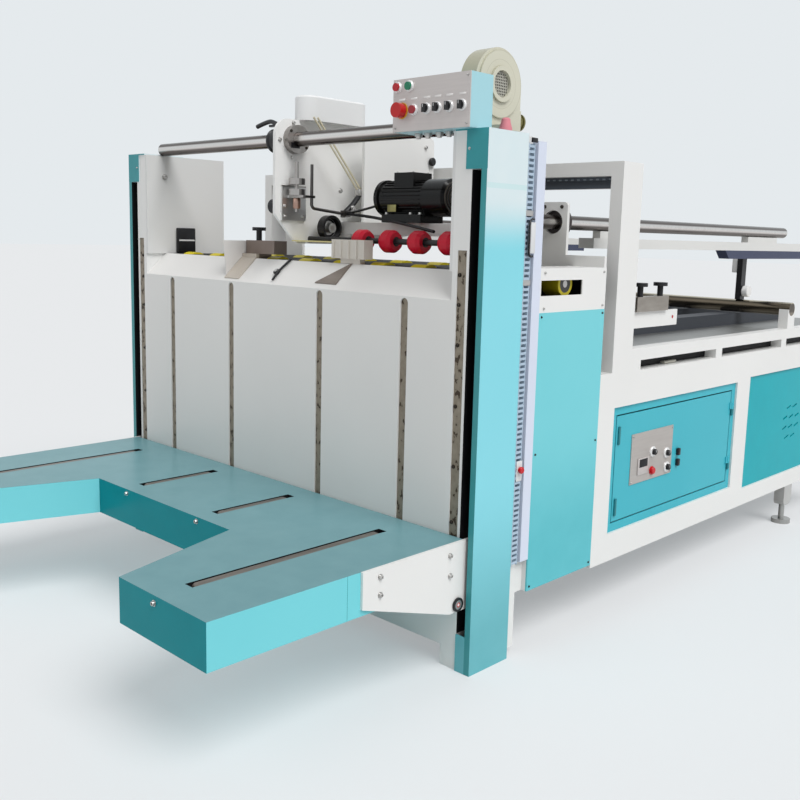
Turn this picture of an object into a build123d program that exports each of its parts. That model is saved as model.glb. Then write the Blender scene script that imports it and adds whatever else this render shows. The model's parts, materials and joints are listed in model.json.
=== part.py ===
"""Folder gluer with a lift-table feeder, for folding and gluing box blanks.

Millimetres, +Z up. X runs across the machine, +Y is the way the blanks travel.
Y is measured from the front face of the columns while the pieces are made. Each finished
piece is then moved so that the origin is on the floor under the middle of the machine.
"""
import os

from build123d import *

os.makedirs("parts", exist_ok=True)

# Columns beside the lift table
half_width = 900
column_height = 1500
column_depth = 168
post_width = 60
slot_width = 34
cover_wall = 20
cover_sheet = 4
cap_height = 100
cap_lap = 20
slot_foot = 110
rear_wall = 8
rear_post_depth = 51
guide_strip_width = 32
guide_strip_depth = 5
guide_strip_bottom = 300
guide_strip_top = 1187
guide_strip_margin = 10

# Front plate and feeding bed
sheet = 5
plate_bottom = 60
fold_height = 1051
shelf_height = 1130
shelf_depth = 83
plate_slot_width = 30
plate_slot_bottom = 180
plate_slot_margin = 5
plate_slot_inner = 235
plate_slot_outer = 607
plate_strip_width = 40
bed_thickness = 10
side_plate_thickness = 10
side_plate_depth = 350
feeder_end = 590
housing_bottom = 185
panel_sheet = 5
teal_side_top = 1014
gear_wall = 4
gear_floor = 26
gear_cavity_rear = 488
gear_window_bottom = 1062
gear_window_height = 44
gear_window_rear = 461
gear_wheel_radius = 36
gear_wheel_width = 60
gear_wheel_margin = 16

# Drag chains and their guards behind the columns
chain_front = 174
chain_depth = 29
chain_height = 16
chain_bottom = 280
chain_top = 1490
chain_pitch = 15
chain_rung = 7
chain_wall = 3
guard_sheet = 4
guard_front = 212
guard_rear = 250
guard_bottom = 285
guard_top = 1488

# Lift table
table_side_gap = 38
table_top = 394
table_thickness = 117
table_front = 845
table_clearance = 5
recess_depth = 409
recess_half_rear = 370
recess_half_front = 495
table_belt_width = 24
table_belt_radius = 12
table_belt_sunk = 2
table_slot_width = 32
table_slot_depth = 40
outer_belt_place = 656
outer_belt_length = 640
outer_belt_rear = 115
inner_belt_place = 208
inner_belt_length = 290
inner_belt_rear = 85
bracket_sheet = 8
bracket_front = 392
bracket_height = 98
bracket_drop = 105
bracket_reach = 110
shoe_length = 60
shoe_depth = 50
shoe_gap = 0.3
guide_wheel_radius = 20
guide_wheel_width = 5
guide_wheel_gap = 1
guide_wheel_pin = 4

# Feed rollers
feed_wheel_radius = 45
feed_wheel_width = 60
feed_wheel_rise = 8
feed_wheel_rear_place = 400
feed_wheel_pitch = 175
feed_wheel_first = 23
feed_wheel_gap = 8
feed_shaft_radius = 10
shaft_seat = 20
bearing_gap = 0.3
press_roller_radius = 35
press_roller_crown = 12
press_roller_taper = 7
press_roller_width = 52
press_roller_pitch = 124
press_roller_first = 271
press_roller_count = 4
press_roller_place = 150
press_roller_height = 1203
press_shaft_radius = 9

# Head plate, front tube and drive
tube_radius = 23
tube_place = 80
head_plate_place = -4
head_plate_sheet = 12
head_plate_front = 2
head_plate_rear = 640
head_plate_rise = 65
head_plate_bottom = 1187
head_plate_corner = 55
head_plate_foot = 95
head_plate_chin = 60
drive_plate_offset = 92
drive_plate_rear = 645
drive_plate_rise = 51
drive_plate_corner = 25
flange_radius = 46
flange_width = 24
collar_radius = 40
collar_width = 40
clamp_arm = 92
lever_radius = 14
lever_tip = 7
belt_cover_front = 100
belt_cover_rear = 385
belt_cover_height = 80
belt_cover_width = 90
belt_cover_edge = 6
motor_radius = 52
motor_cowl_radius = 58
motor_cowl_length = 95
motor_cowl_edge = 10
motor_flange_width = 14
motor_length = 300
motor_place = 262
motor_first = 258
motor_base = 26
motor_base_margin = 34
terminal_box = 84
beam_depth = 50
beam_height = 40
beam_top = 1262
beam_place = 275
pulley_radius = 42
pulley_rim = 8
pulley_hub = 16
pulley_width = 30
pulley_web = 10
pulley_offset = 32
pulley_place = 197
pulley_height = 1241
pulley_pin = 8
adjuster_front = 25
adjuster_rear = 125
adjuster_bottom = 1262
adjuster_top = 1375
adjuster_sheet = 8
adjuster_arm = 84
spindle_offset = 37
spindle_place = 62
spindle_radius = 6
spindle_bottom = 1290
spindle_top = 1450
adjuster_knob_radius = 27
adjuster_knob_width = 20
adjuster_knob_gap = 14
probe_offset = 72
probe_place = 96
probe_top = 1443
probe_knee = 1303
probe_end = 240
probe_end_height = 1289
probe_radius = 5
probe_bend = 15
probe_block = 24

# Guides for the blanks on the feeding bed
guide_sheet = 4
guide_box_left = -275
guide_box_right = -115
guide_box_front = 95
guide_box_rear = 150
guide_box_bottom = 1146
guide_box_top = 1192
guide_foot_left = -282
guide_foot_right = -200
guide_tongue_start = 12
rib_block_left = 215
rib_block_right = 365
rib_block_front = 72
rib_block_rear = 104
rib_block_bottom = 1146
rib_block_top = 1205
rib_count = 5
rib_width = 8
rib_depth = 6
rib_foot_left = 240
rib_foot_right = 330
bridge_rear = 130
bridge_height = 1194
wedge_left = 196
wedge_right = 296
wedge_margin = 22

# Black clamping knobs
knob_radius = 24
knob_cap = 12
knob_stem = 10
knob_height = 46
head_knob_place = 16
head_knob_height = 1307

# Control box and blower on the right column
box_inset = 39
box_length = 279
box_front = 37
box_depth = 91
box_height = 140
box_face = 3
device_rise = 60
lamp_rise = 123
device_ring = 14.5
device_ring_depth = 4
device_cap = 11
lamp_depth = 12
lamp_offsets = (18, 63)
stop_offset = 35
stop_radius = 20
stop_depth = 26
button_offset = 80
selector_offsets = (128, 167, 209, 254)
selector_bar = 9
selector_depth = 18
blower_inset = 104
blower_width = 55
blower_place = 160
blower_rise = 140
blower_radii = (97, 103, 111)
blower_outlet_end = 262
blower_outlet_height = 56
blower_step = 7
blower_step_depth = 5
inlet_radius = 36
inlet_rim = 12
inlet_rim_depth = 7
inlet_depth = 14
blower_foot_inset = 64
blower_foot_front = 120
blower_foot_rear = 164

# Machine body behind the feeder
frame_sheet = 44
frame_bottom = 173
frame_top = 876
notch_height = 806
bay_count = 2
bay_pitch = 1005
panel_length = 892
panel_margin = 93
door_panel_bottom = 268
door_panel_top = 690
vent_panel_bottom = 243
vent_panel_top = 701
side_slot_bottom = 802
side_slot_height = 33
side_slot_length = 540
side_slot_pitch = 590
side_slot_first = 239
side_slot_count = 3
door_margin = 28
door_gap = 5
panel_recess = 8
hinge_radius = 4
hinge_length = 50
hinge_inset = 75
hinge_gap = 0.5
hinge_leaf = 14
cabinet_depth = 220
cabinet_sheet = 4
door_plate_front = 814
door_plate_length = 278
door_plate_bottom = 409
door_plate_height = 174
door_plate_sheet = 3
vent_place = 2150
vent_height = 463
vent_slot_length = 42
vent_slot_height = 7
vent_slot_tilt = 14
vent_slot_pitch = 62
vent_row_pitch = 44
bed_sheet = 8

# Portal and the rail under its beam
portal_front = 656
portal_leg_depth = 115
portal_top = 1467
portal_beam_height = 44
rail_height = 36
rail_depth = 36
rail_groove = 14
rail_groove_depth = 12

# Bed belts
belt_count = 6
belt_pitch = 250
belt_width = 80
belt_radius = 25

# Longitudinal tubes and folding beams
bearing_plate_place = 575
bearing_plate_sheet = 12
bearing_plate_foot = 1141
bearing_plate_step = 1175
bearing_plate_top = 1340
bearing_plate_width = 110
bearing_plate_hole = 37
bearing_plate_corner = 14
right_tube_place = 700
left_tube_place = -600
long_tube_height = 1277
right_tube_front = 300
long_tube_rear = 2355
bearing_flange_radius = 52
bearing_flange_width = 20
beam_top_height = 1230
fold_beam_height = 34
fold_beam_width = 60
fold_beam_front = 771
saddle_length = 60
saddle_width = 30
rear_saddle_front = 1974
rear_saddle_rear = 2267
fold_belt_front = 1740
fold_belt_slant = 35
fold_belt_height = 34
fold_belt_width = 44
fold_belt_offset = 8

# Cross rod with what stands on it, blocks on the side frames, and feet
rod_radius = 28
rod_place = 2040
rod_height = 957
rod_block_width = 40
rod_block_depth = 70
post_bar_width = 24
post_bar_depth = 40
post_bar_offset = 34
rail_plate_sheet = 8
rail_plate_rear = 1135
rail_plate_bottom = 935
rail_plate_top = 990
rail_plate_inset = 24
rail_block_front = 843
rail_block_rear = 1050
rail_block_width = 28
rail_block_height = 50
rail_knob_places = (880, 1012)
foot_place = 2170
foot_block = 80
foot_block_bottom = 84
foot_block_corner = 24
foot_radius = 40
foot_height = 18
foot_stem_radius = 12

# Sizes worked out from the ones above
cover_inner = half_width - cover_wall
slot_inner = cover_inner - slot_width
post_inner = slot_inner - post_width
body_end = feeder_end + 2 * panel_margin + (bay_count - 1) * bay_pitch + panel_length
portal_step = portal_front + portal_leg_depth
rear_post_end = column_depth + rear_post_depth
tube_height = column_height + tube_radius
head_plate_top = tube_height + head_plate_rise
drive_plate_top = tube_height + drive_plate_rise
table_half_width = half_width - table_side_gap
box_right = half_width - box_inset
box_left = box_right - box_length
device_height = column_height + device_rise
lamp_height = column_height + lamp_rise
blower_face = half_width - blower_inset
blower_foot_right = half_width - blower_foot_inset
blower_height = column_height + blower_rise
middle = (body_end - table_front) / 2
panel_outer = half_width - panel_recess
panel_inner = panel_outer - panel_sheet
feed_wheel_place = shelf_depth + sheet + feed_wheel_gap + feed_wheel_radius
wheel_axis_height = shelf_height + feed_wheel_rise - feed_wheel_radius
gear_wheel_outer = half_width - gear_wall - gear_wheel_margin
plate_right = head_plate_place + head_plate_sheet
device_front = box_front - box_face
frame_inner = half_width - frame_sheet
tube_places = (right_tube_place, left_tube_place)


def finish(piece, name):
    """Move a piece to the frame under the machine's middle, label it and write its STEP file."""
    piece.part.move(Location((0, -middle, 0)))
    piece.part.label = name
    export_step(piece.part, f"parts/{name}.step")


def span(first, last, low, high):
    """Rectangle between two edges each way, in the sketch's own plane."""
    with Locations(((first + last) / 2, (low + high) / 2)):
        Rectangle(abs(last - first), abs(high - low))


def bay_start(bay):
    """Front edge of a bay's opening in the side frame."""
    return feeder_end + panel_margin + bay * bay_pitch


# Posts with the narrower posts behind them
strip_outer = slot_inner - guide_strip_margin
strip_inner = strip_outer - guide_strip_width
with BuildPart() as posts:
    for side in (1, -1):
        with BuildSketch(Plane.XY):
            span(side * post_inner, side * slot_inner, 0, column_depth)
        extrude(amount=column_height)
        with BuildSketch(Plane.XY.offset(foot_height)):
            span(side * slot_inner, side * cover_inner, column_depth, rear_post_end)
        extrude(amount=column_height - foot_height)
        with BuildSketch(Plane.XZ):
            span(side * strip_inner, side * strip_outer, guide_strip_bottom, guide_strip_top)
        extrude(amount=-guide_strip_depth, mode=Mode.SUBTRACT)
        with BuildSketch(Plane.YZ.offset(side * post_inner)):
            with Locations((feed_wheel_place, wheel_axis_height)):
                Circle(feed_shaft_radius + bearing_gap)
        extrude(amount=side * (shaft_seat + bearing_gap), mode=Mode.SUBTRACT)
finish(posts, "posts")

# Column covers with their caps and lower front plates
with BuildPart() as column_covers:
    for side in (1, -1):
        with BuildSketch(Plane.XY):
            span(side * cover_inner, side * half_width, -cover_sheet, column_depth)
            span(side * slot_inner, side * cover_inner, column_depth - rear_wall, column_depth)
        extrude(amount=column_height)
        with BuildSketch(Plane.XZ):
            cap_inner = slot_inner - cap_lap
            span(side * cap_inner, side * cover_inner, column_height - cap_height, column_height)
            span(side * slot_inner, side * cover_inner, 0, slot_foot)
        extrude(amount=cover_sheet)
        with BuildSketch(Plane.XY.offset(column_height)):
            span(side * post_inner, side * half_width, -cover_sheet, column_depth)
        extrude(amount=cover_sheet)
finish(column_covers, "column_covers")

# Side plates above the feeding bed
with BuildPart() as side_plates:
    for side in (1, -1):
        with BuildSketch(Plane.YZ.offset(side * post_inner)):
            span(0, side_plate_depth, shelf_height, column_height)
            if side > 0:
                with Locations((press_roller_place, press_roller_height)):
                    Circle(press_shaft_radius + bearing_gap, mode=Mode.SUBTRACT)
        extrude(amount=-side * side_plate_thickness)
finish(side_plates, "side_plates")

# Front plate: a sheet with four guide slots, folded back to a sloping shelf
plate_places = (-plate_slot_outer, -plate_slot_inner, plate_slot_inner, plate_slot_outer)
plate_slot_top = fold_height - plate_slot_margin
with BuildPart() as front_plate:
    with BuildSketch(Plane.YZ.offset(-post_inner)):
        with BuildLine():
            Polyline(
                (0, plate_bottom),
                (0, fold_height),
                (shelf_depth, shelf_height),
                (shelf_depth + sheet, shelf_height),
                (shelf_depth + sheet, shelf_height - sheet),
                (sheet, fold_height - sheet / 2),
                (sheet, plate_bottom),
                close=True,
            )
        make_face()
    extrude(amount=2 * post_inner)
    with BuildSketch(Plane.XZ):
        for place in plate_places:
            with Locations((place, (plate_slot_bottom + plate_slot_top) / 2)):
                SlotOverall(plate_slot_top - plate_slot_bottom, plate_slot_width, rotation=90)
    extrude(amount=-sheet, mode=Mode.SUBTRACT)
finish(front_plate, "front_plate")

# Worn steel strips: let into the posts, and behind the slots of the front plate
with BuildPart() as guide_strips:
    with BuildSketch(Plane.XZ.offset(-sheet)):
        for place in plate_places:
            with Locations((place, (plate_slot_bottom + plate_slot_top) / 2)):
                Rectangle(plate_strip_width, plate_slot_top - plate_slot_bottom)
    extrude(amount=-sheet)
    with BuildSketch(Plane.XZ.offset(-guide_strip_depth / 2)):
        for side in (1, -1):
            span(side * strip_inner, side * strip_outer, guide_strip_bottom, guide_strip_top)
    extrude(amount=-guide_strip_depth / 2)
finish(guide_strips, "guide_strips")

# Feeding bed with openings for the feed wheels
wheel_half_count = int((post_inner - feed_wheel_first) / feed_wheel_pitch)
wheel_numbers = range(-wheel_half_count, wheel_half_count + 1)
wheel_places = [feed_wheel_first + n * feed_wheel_pitch for n in wheel_numbers]
wheel_rows = (feed_wheel_place, feed_wheel_rear_place)
with BuildPart() as feed_bed:
    with BuildSketch(Plane.XY.offset(shelf_height - sheet - bed_thickness)):
        span(-post_inner, post_inner, shelf_depth + sheet, feeder_end)
    extrude(amount=bed_thickness + sheet)
    with BuildSketch(Plane.XY.offset(shelf_height)):
        for row in wheel_rows:
            with Locations(*[(place, row) for place in wheel_places]):
                opening_length = 2 * (feed_wheel_radius + feed_wheel_gap)
                Rectangle(feed_wheel_width + 2 * feed_wheel_gap, opening_length)
    extrude(amount=-bed_thickness - sheet, mode=Mode.SUBTRACT)
finish(feed_bed, "feed_bed")

# Feed wheels: two driven shafts below the bed, the rear one with a wheel in each gear cover
shaft_reaches = (post_inner + shaft_seat, gear_wheel_outer)
shaft_names = ("front_feed_wheels", "rear_feed_wheels")
for row, reach, name in zip(wheel_rows, shaft_reaches, shaft_names):
    with BuildPart() as feed_wheels:
        with BuildSketch(Plane.YZ.offset(-reach)):
            with Locations((row, wheel_axis_height)):
                Circle(feed_shaft_radius)
        extrude(amount=2 * reach)
        if reach == gear_wheel_outer:
            for side in (1, -1):
                with BuildSketch(Plane.YZ.offset(side * reach)):
                    with Locations((row, wheel_axis_height)):
                        Circle(gear_wheel_radius)
                extrude(amount=-side * gear_wheel_width)
        for place in wheel_places:
            with BuildSketch(Plane.YZ.offset(place - feed_wheel_width / 2)):
                with Locations((row, wheel_axis_height)):
                    Circle(feed_wheel_radius)
            extrude(amount=feed_wheel_width)
    finish(feed_wheels, name)

# Feeder sides: white housings with teal panels on them
with BuildPart() as feeder_housings:
    for side in (1, -1):
        with BuildSketch(Plane.XY.offset(housing_bottom)):
            span(side * post_inner, side * cover_inner, rear_post_end, feeder_end)
            span(side * cover_inner, side * (half_width - panel_sheet), guard_rear, feeder_end)
        extrude(amount=teal_side_top - housing_bottom)
finish(feeder_housings, "feeder_housings")

# Gear covers: thin boxes on the housings, each with a window in its outer side
with BuildPart() as gear_covers:
    for side in (1, -1):
        with BuildSketch(Plane.XY.offset(teal_side_top)):
            span(side * post_inner, side * half_width, guard_rear, feeder_end)
        extrude(amount=bearing_plate_foot - teal_side_top)
        with BuildSketch(Plane.XY.offset(teal_side_top + gear_floor)):
            cavity_outer = half_width - gear_wall
            cavity_front = guard_rear + gear_wall
            span(side * (post_inner + gear_wall), side * cavity_outer, cavity_front, gear_cavity_rear)
        cavity_top = bearing_plate_foot - gear_wall
        extrude(amount=cavity_top - teal_side_top - gear_floor, mode=Mode.SUBTRACT)
        with BuildSketch(Plane.YZ.offset(side * half_width)):
            window_top = gear_window_bottom + gear_window_height
            span(cavity_front, gear_window_rear, gear_window_bottom, window_top)
        extrude(amount=-side * gear_wall, mode=Mode.SUBTRACT)
        with BuildSketch(Plane.YZ.offset(side * post_inner)):
            with Locations((feed_wheel_rear_place, wheel_axis_height)):
                Circle(feed_shaft_radius + bearing_gap)
        extrude(amount=side * gear_wall, mode=Mode.SUBTRACT)
finish(gear_covers, "gear_covers")

# Drag chains on the rear posts: two cheeks each, joined by a rung at every link
rung_count = int((chain_top - chain_bottom) / chain_pitch)
with BuildPart() as drag_chains:
    for side in (1, -1):
        with BuildSketch(Plane.XY.offset(chain_bottom)):
            for cheek in (chain_front, chain_front + chain_depth - chain_wall):
                span(side * cover_inner, side * (cover_inner + chain_height), cheek, cheek + chain_wall)
        extrude(amount=rung_count * chain_pitch)
        with BuildSketch(Plane.YZ.offset(side * (cover_inner + chain_height))):
            for n in range(rung_count):
                with Locations((chain_front + chain_depth / 2, chain_bottom + (n + 0.5) * chain_pitch)):
                    Rectangle(chain_depth, chain_rung)
        extrude(amount=-side * chain_wall)
finish(drag_chains, "drag_chains")

# Channel-shaped guards behind the chains
with BuildPart() as chain_guards:
    for side in (1, -1):
        web_inner = half_width - guard_sheet
        with BuildSketch(Plane.XY.offset(guard_bottom)):
            span(side * web_inner, side * half_width, guard_front, guard_rear)
            for edge in (guard_front, guard_rear - guard_sheet):
                span(side * cover_inner, side * web_inner, edge, edge + guard_sheet)
        extrude(amount=guard_top - guard_bottom)
finish(chain_guards, "chain_guards")

# Lift table: a flat box with a flared recess, four conveyor belts and hanging brackets
belt_places = (
    (-outer_belt_place, outer_belt_rear, outer_belt_length),
    (-inner_belt_place, inner_belt_rear, inner_belt_length),
    (inner_belt_place, inner_belt_rear, inner_belt_length),
    (outer_belt_place, outer_belt_rear, outer_belt_length),
)
with BuildPart() as lift_table:
    with BuildSketch(Plane.XY.offset(table_top - table_thickness)):
        with BuildLine():
            Polyline(
                (-table_half_width, -table_clearance),
                (-table_half_width, -table_front),
                (-recess_half_front, -table_front),
                (-recess_half_rear, recess_depth - table_front),
                (recess_half_rear, recess_depth - table_front),
                (recess_half_front, -table_front),
                (table_half_width, -table_front),
                (table_half_width, -table_clearance),
                close=True,
            )
        make_face()
    extrude(amount=table_thickness)
    with BuildSketch(Plane.XY.offset(table_top)):
        for place, rear, length in belt_places:
            with Locations((place, -rear - length / 2)):
                Rectangle(table_slot_width, length)
    extrude(amount=-table_slot_depth, mode=Mode.SUBTRACT)
finish(lift_table, "lift_table")

belt_centre = table_top - table_belt_sunk - table_belt_radius
belt_end_margin = table_slot_width / 2
slot_floor = table_top - table_slot_depth
with BuildPart() as table_belts:
    for place, rear, length in belt_places:
        with BuildSketch(Plane.YZ.offset(place - table_belt_width / 2)):
            with Locations((-rear - length / 2, belt_centre)):
                SlotOverall(length - 2 * belt_end_margin, 2 * table_belt_radius)
        extrude(amount=table_belt_width)
        with BuildSketch(Plane.YZ.offset(place - table_belt_width / 2)):
            with Locations((-rear - length / 2, (slot_floor + belt_centre) / 2)):
                Rectangle(length / 2, belt_centre - slot_floor)
        extrude(amount=table_belt_width)
finish(table_belts, "table_belts")

# Brackets on the table's sides: each reaches into a column's slot, where two shoes guide it,
# and has a pin for a guide wheel
bracket_bottom = table_top - bracket_height - bracket_drop
bracket_outer = table_half_width + bracket_sheet
wheel_height = bracket_bottom + guide_wheel_radius + 2
wheel_place = -guide_wheel_radius - 2 * table_clearance
with BuildPart() as table_brackets:
    for side in (1, -1):
        with BuildSketch(Plane.YZ.offset(side * table_half_width)):
            with BuildLine():
                Polyline(
                    (-bracket_front, table_top),
                    (bracket_reach, table_top),
                    (bracket_reach, bracket_bottom),
                    (2 * wheel_place, bracket_bottom),
                    (-bracket_front, table_top - bracket_height),
                    close=True,
                )
            make_face()
        extrude(amount=side * bracket_sheet)
        for low in (bracket_bottom, table_top - shoe_length):
            with BuildSketch(Plane.XY.offset(low)):
                shoe_inner = slot_inner + shoe_gap
                shoe_outer = cover_inner - shoe_gap
                span(side * shoe_inner, side * shoe_outer, bracket_reach - shoe_depth, bracket_reach)
            extrude(amount=shoe_length)
        with BuildSketch(Plane.YZ.offset(side * bracket_outer)):
            with Locations((wheel_place, wheel_height)):
                Circle(guide_wheel_pin)
        extrude(amount=side * (guide_wheel_gap + guide_wheel_width))
finish(table_brackets, "table_brackets")

for side, name in ((1, "right_guide_wheel"), (-1, "left_guide_wheel")):
    with BuildPart() as guide_wheel:
        with BuildSketch(Plane.YZ.offset(side * (bracket_outer + guide_wheel_gap))):
            with Locations((wheel_place, wheel_height)):
                Circle(guide_wheel_radius)
                Circle(guide_wheel_pin + bearing_gap, mode=Mode.SUBTRACT)
        extrude(amount=side * guide_wheel_width)
    finish(guide_wheel, name)

# Round tubes: one across the side plates, and one along each side of the body
with BuildPart() as tubes:
    with BuildSketch(Plane.YZ.offset(-post_inner)):
        with Locations((tube_place, tube_height)):
            Circle(tube_radius)
    extrude(amount=2 * post_inner)
    for place in tube_places:
        tube_front = bearing_plate_place + bearing_plate_sheet
        if place == right_tube_place:
            tube_front = right_tube_front
        with BuildSketch(Plane.XZ.offset(-tube_front)):
            with Locations((place, long_tube_height)):
                Circle(tube_radius)
        extrude(amount=tube_front - long_tube_rear)
finish(tubes, "tubes")

# Head plate hung on the front tube, and the drive plate parallel to it behind the beam
with BuildPart() as head_plate:
    with BuildSketch(Plane.YZ.offset(head_plate_place)):
        with BuildLine():
            Polyline(
                (head_plate_front, head_plate_top),
                (head_plate_rear, head_plate_top),
                (head_plate_rear, beam_top - beam_height),
                (head_plate_rear / 2, head_plate_bottom),
                (head_plate_front + head_plate_foot, head_plate_bottom),
                (head_plate_front + head_plate_chin, head_plate_bottom + head_plate_chin / 2),
                (head_plate_front, head_plate_bottom + head_plate_foot),
                close=True,
            )
        make_face()
        fillet(vertices().group_by(Axis.Y)[-1], head_plate_corner)
        with Locations((tube_place, tube_height)):
            Circle(tube_radius + bearing_gap, mode=Mode.SUBTRACT)
        with Locations((press_roller_place, press_roller_height)):
            Circle(press_shaft_radius + bearing_gap, mode=Mode.SUBTRACT)
    extrude(amount=head_plate_sheet)
    with BuildSketch(Plane.YZ.offset(plate_right + drive_plate_offset)):
        drive_plate_front = beam_place + beam_depth / 2
        span(drive_plate_front, drive_plate_rear, beam_top - beam_height, drive_plate_top)
        fillet(vertices().group_by(Axis.Y)[-1], drive_plate_corner)
    extrude(amount=head_plate_sheet)
finish(head_plate, "head_plate")

# Round flange on the outer side of the head plate
with BuildPart() as tube_fittings:
    with BuildSketch(Plane.YZ.offset(plate_right)):
        with Locations((tube_place, tube_height)):
            Circle(flange_radius)
            Circle(tube_radius + bearing_gap, mode=Mode.SUBTRACT)
    extrude(amount=flange_width)
finish(tube_fittings, "tube_fittings")

# Lever turning on top of the clamp collar: a boss with a tapering arm
lever_foot = collar_radius + tube_height
lever_place = head_plate_place - collar_width / 2
with BuildPart() as clamp_lever:
    with BuildSketch(Plane.XY.offset(lever_foot + bearing_gap)):
        with Locations((lever_place, tube_place)):
            Circle(lever_radius)
    extrude(amount=2 * lever_tip)
    with BuildSketch(Plane.XY.offset(lever_foot + bearing_gap + lever_tip)):
        with Locations((lever_place, tube_place), (lever_place - clamp_arm, tube_place)):
            Circle(lever_tip)
        make_hull()
    extrude(amount=lever_tip)
finish(clamp_lever, "clamp_lever")

# Belt cover on top of the head plate, with round ends
with BuildPart() as belt_cover:
    with BuildSketch(Plane.XY.offset(head_plate_top)):
        cover_middle = (belt_cover_front + belt_cover_rear) / 2
        with Locations((head_plate_place + head_plate_sheet / 2, cover_middle)):
            SlotOverall(belt_cover_rear - belt_cover_front, belt_cover_width, rotation=90)
    extrude(amount=belt_cover_height)
    chamfer(faces().sort_by(Axis.Z)[-1].edges(), belt_cover_edge)
finish(belt_cover, "belt_cover")

# Beam between the head plate and the right side plate
beam_right = post_inner - side_plate_thickness
with BuildPart() as cross_beam:
    with BuildSketch(Plane.XY.offset(beam_top - beam_height)):
        span(plate_right, beam_right, beam_place - beam_depth / 2, beam_place + beam_depth / 2)
    extrude(amount=beam_height)
finish(cross_beam, "cross_beam")

# Motor on the beam: flange, body and fan cowl, with a foot and a terminal box
motor_axis = beam_top + motor_base + motor_radius
motor_last = motor_first + motor_length
with BuildPart() as feed_motor:
    for start, end, radius in (
        (motor_first, motor_first + motor_flange_width, motor_cowl_radius),
        (motor_first, motor_last, motor_radius),
        (motor_last - motor_cowl_length, motor_last, motor_cowl_radius),
    ):
        with BuildSketch(Plane.YZ.offset(start)):
            with Locations((motor_place, motor_axis)):
                Circle(radius)
        extrude(amount=end - start)
    chamfer(faces().sort_by(Axis.X)[-1].edges(), motor_cowl_edge)
    with BuildSketch(Plane.XY.offset(beam_top)):
        foot_first = motor_first + motor_base_margin
        foot_last = motor_last - motor_cowl_length
        span(foot_first, foot_last, motor_place - motor_radius, motor_place + motor_radius)
    extrude(amount=motor_base)
    with BuildSketch(Plane.XY.offset(motor_axis)):
        with Locations(((foot_first + foot_last) / 2, motor_place)):
            Rectangle(terminal_box, terminal_box)
    extrude(amount=motor_radius + motor_base)
    with BuildSketch(Plane.XY.offset(beam_top + motor_base)):
        with Locations(((foot_first + foot_last) / 2, motor_place)):
            Rectangle(foot_last - foot_first, motor_radius)
    extrude(amount=motor_radius)
finish(feed_motor, "feed_motor")

# Press rollers with tapered edges, on a shaft between the head plate and the right side plate
press_shaft_first = head_plate_place - shaft_seat
press_shaft_last = post_inner - bearing_gap
with BuildPart() as press_rollers:
    with BuildSketch(Plane.YZ.offset(press_shaft_first)):
        with Locations((press_roller_place, press_roller_height)):
            Circle(press_shaft_radius)
    extrude(amount=press_shaft_last - press_shaft_first)
    for n in range(press_roller_count):
        place = press_roller_first + n * press_roller_pitch
        with BuildSketch(Plane.XY.offset(press_roller_height)):
            with BuildLine():
                half = press_roller_width / 2
                edge_radius = press_roller_radius - press_roller_taper
                Polyline(
                    (place - half, press_roller_place),
                    (place - half, press_roller_place + edge_radius),
                    (place - half + press_roller_crown, press_roller_place + press_roller_radius),
                    (place + half - press_roller_crown, press_roller_place + press_roller_radius),
                    (place + half, press_roller_place + edge_radius),
                    (place + half, press_roller_place),
                    close=True,
                )
            make_face()
        revolve(axis=Axis((0, press_roller_place, press_roller_height), (1, 0, 0)))
finish(press_rollers, "press_rollers")

# Belt pulley in front of the head plate: rim, web and hub
pulley_left = plate_right + pulley_offset
with BuildPart() as drive_pulley:
    with BuildSketch(Plane.YZ.offset(pulley_left)):
        with Locations((pulley_place, pulley_height)):
            Circle(pulley_radius)
            Circle(pulley_pin + bearing_gap, mode=Mode.SUBTRACT)
    extrude(amount=pulley_width)
    with BuildSketch(Plane.YZ.offset(pulley_left + pulley_width)):
        with Locations((pulley_place, pulley_height)):
            Circle(pulley_radius - pulley_rim)
            Circle(pulley_hub, mode=Mode.SUBTRACT)
    extrude(amount=pulley_web - pulley_width, mode=Mode.SUBTRACT)
finish(drive_pulley, "drive_pulley")

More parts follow.
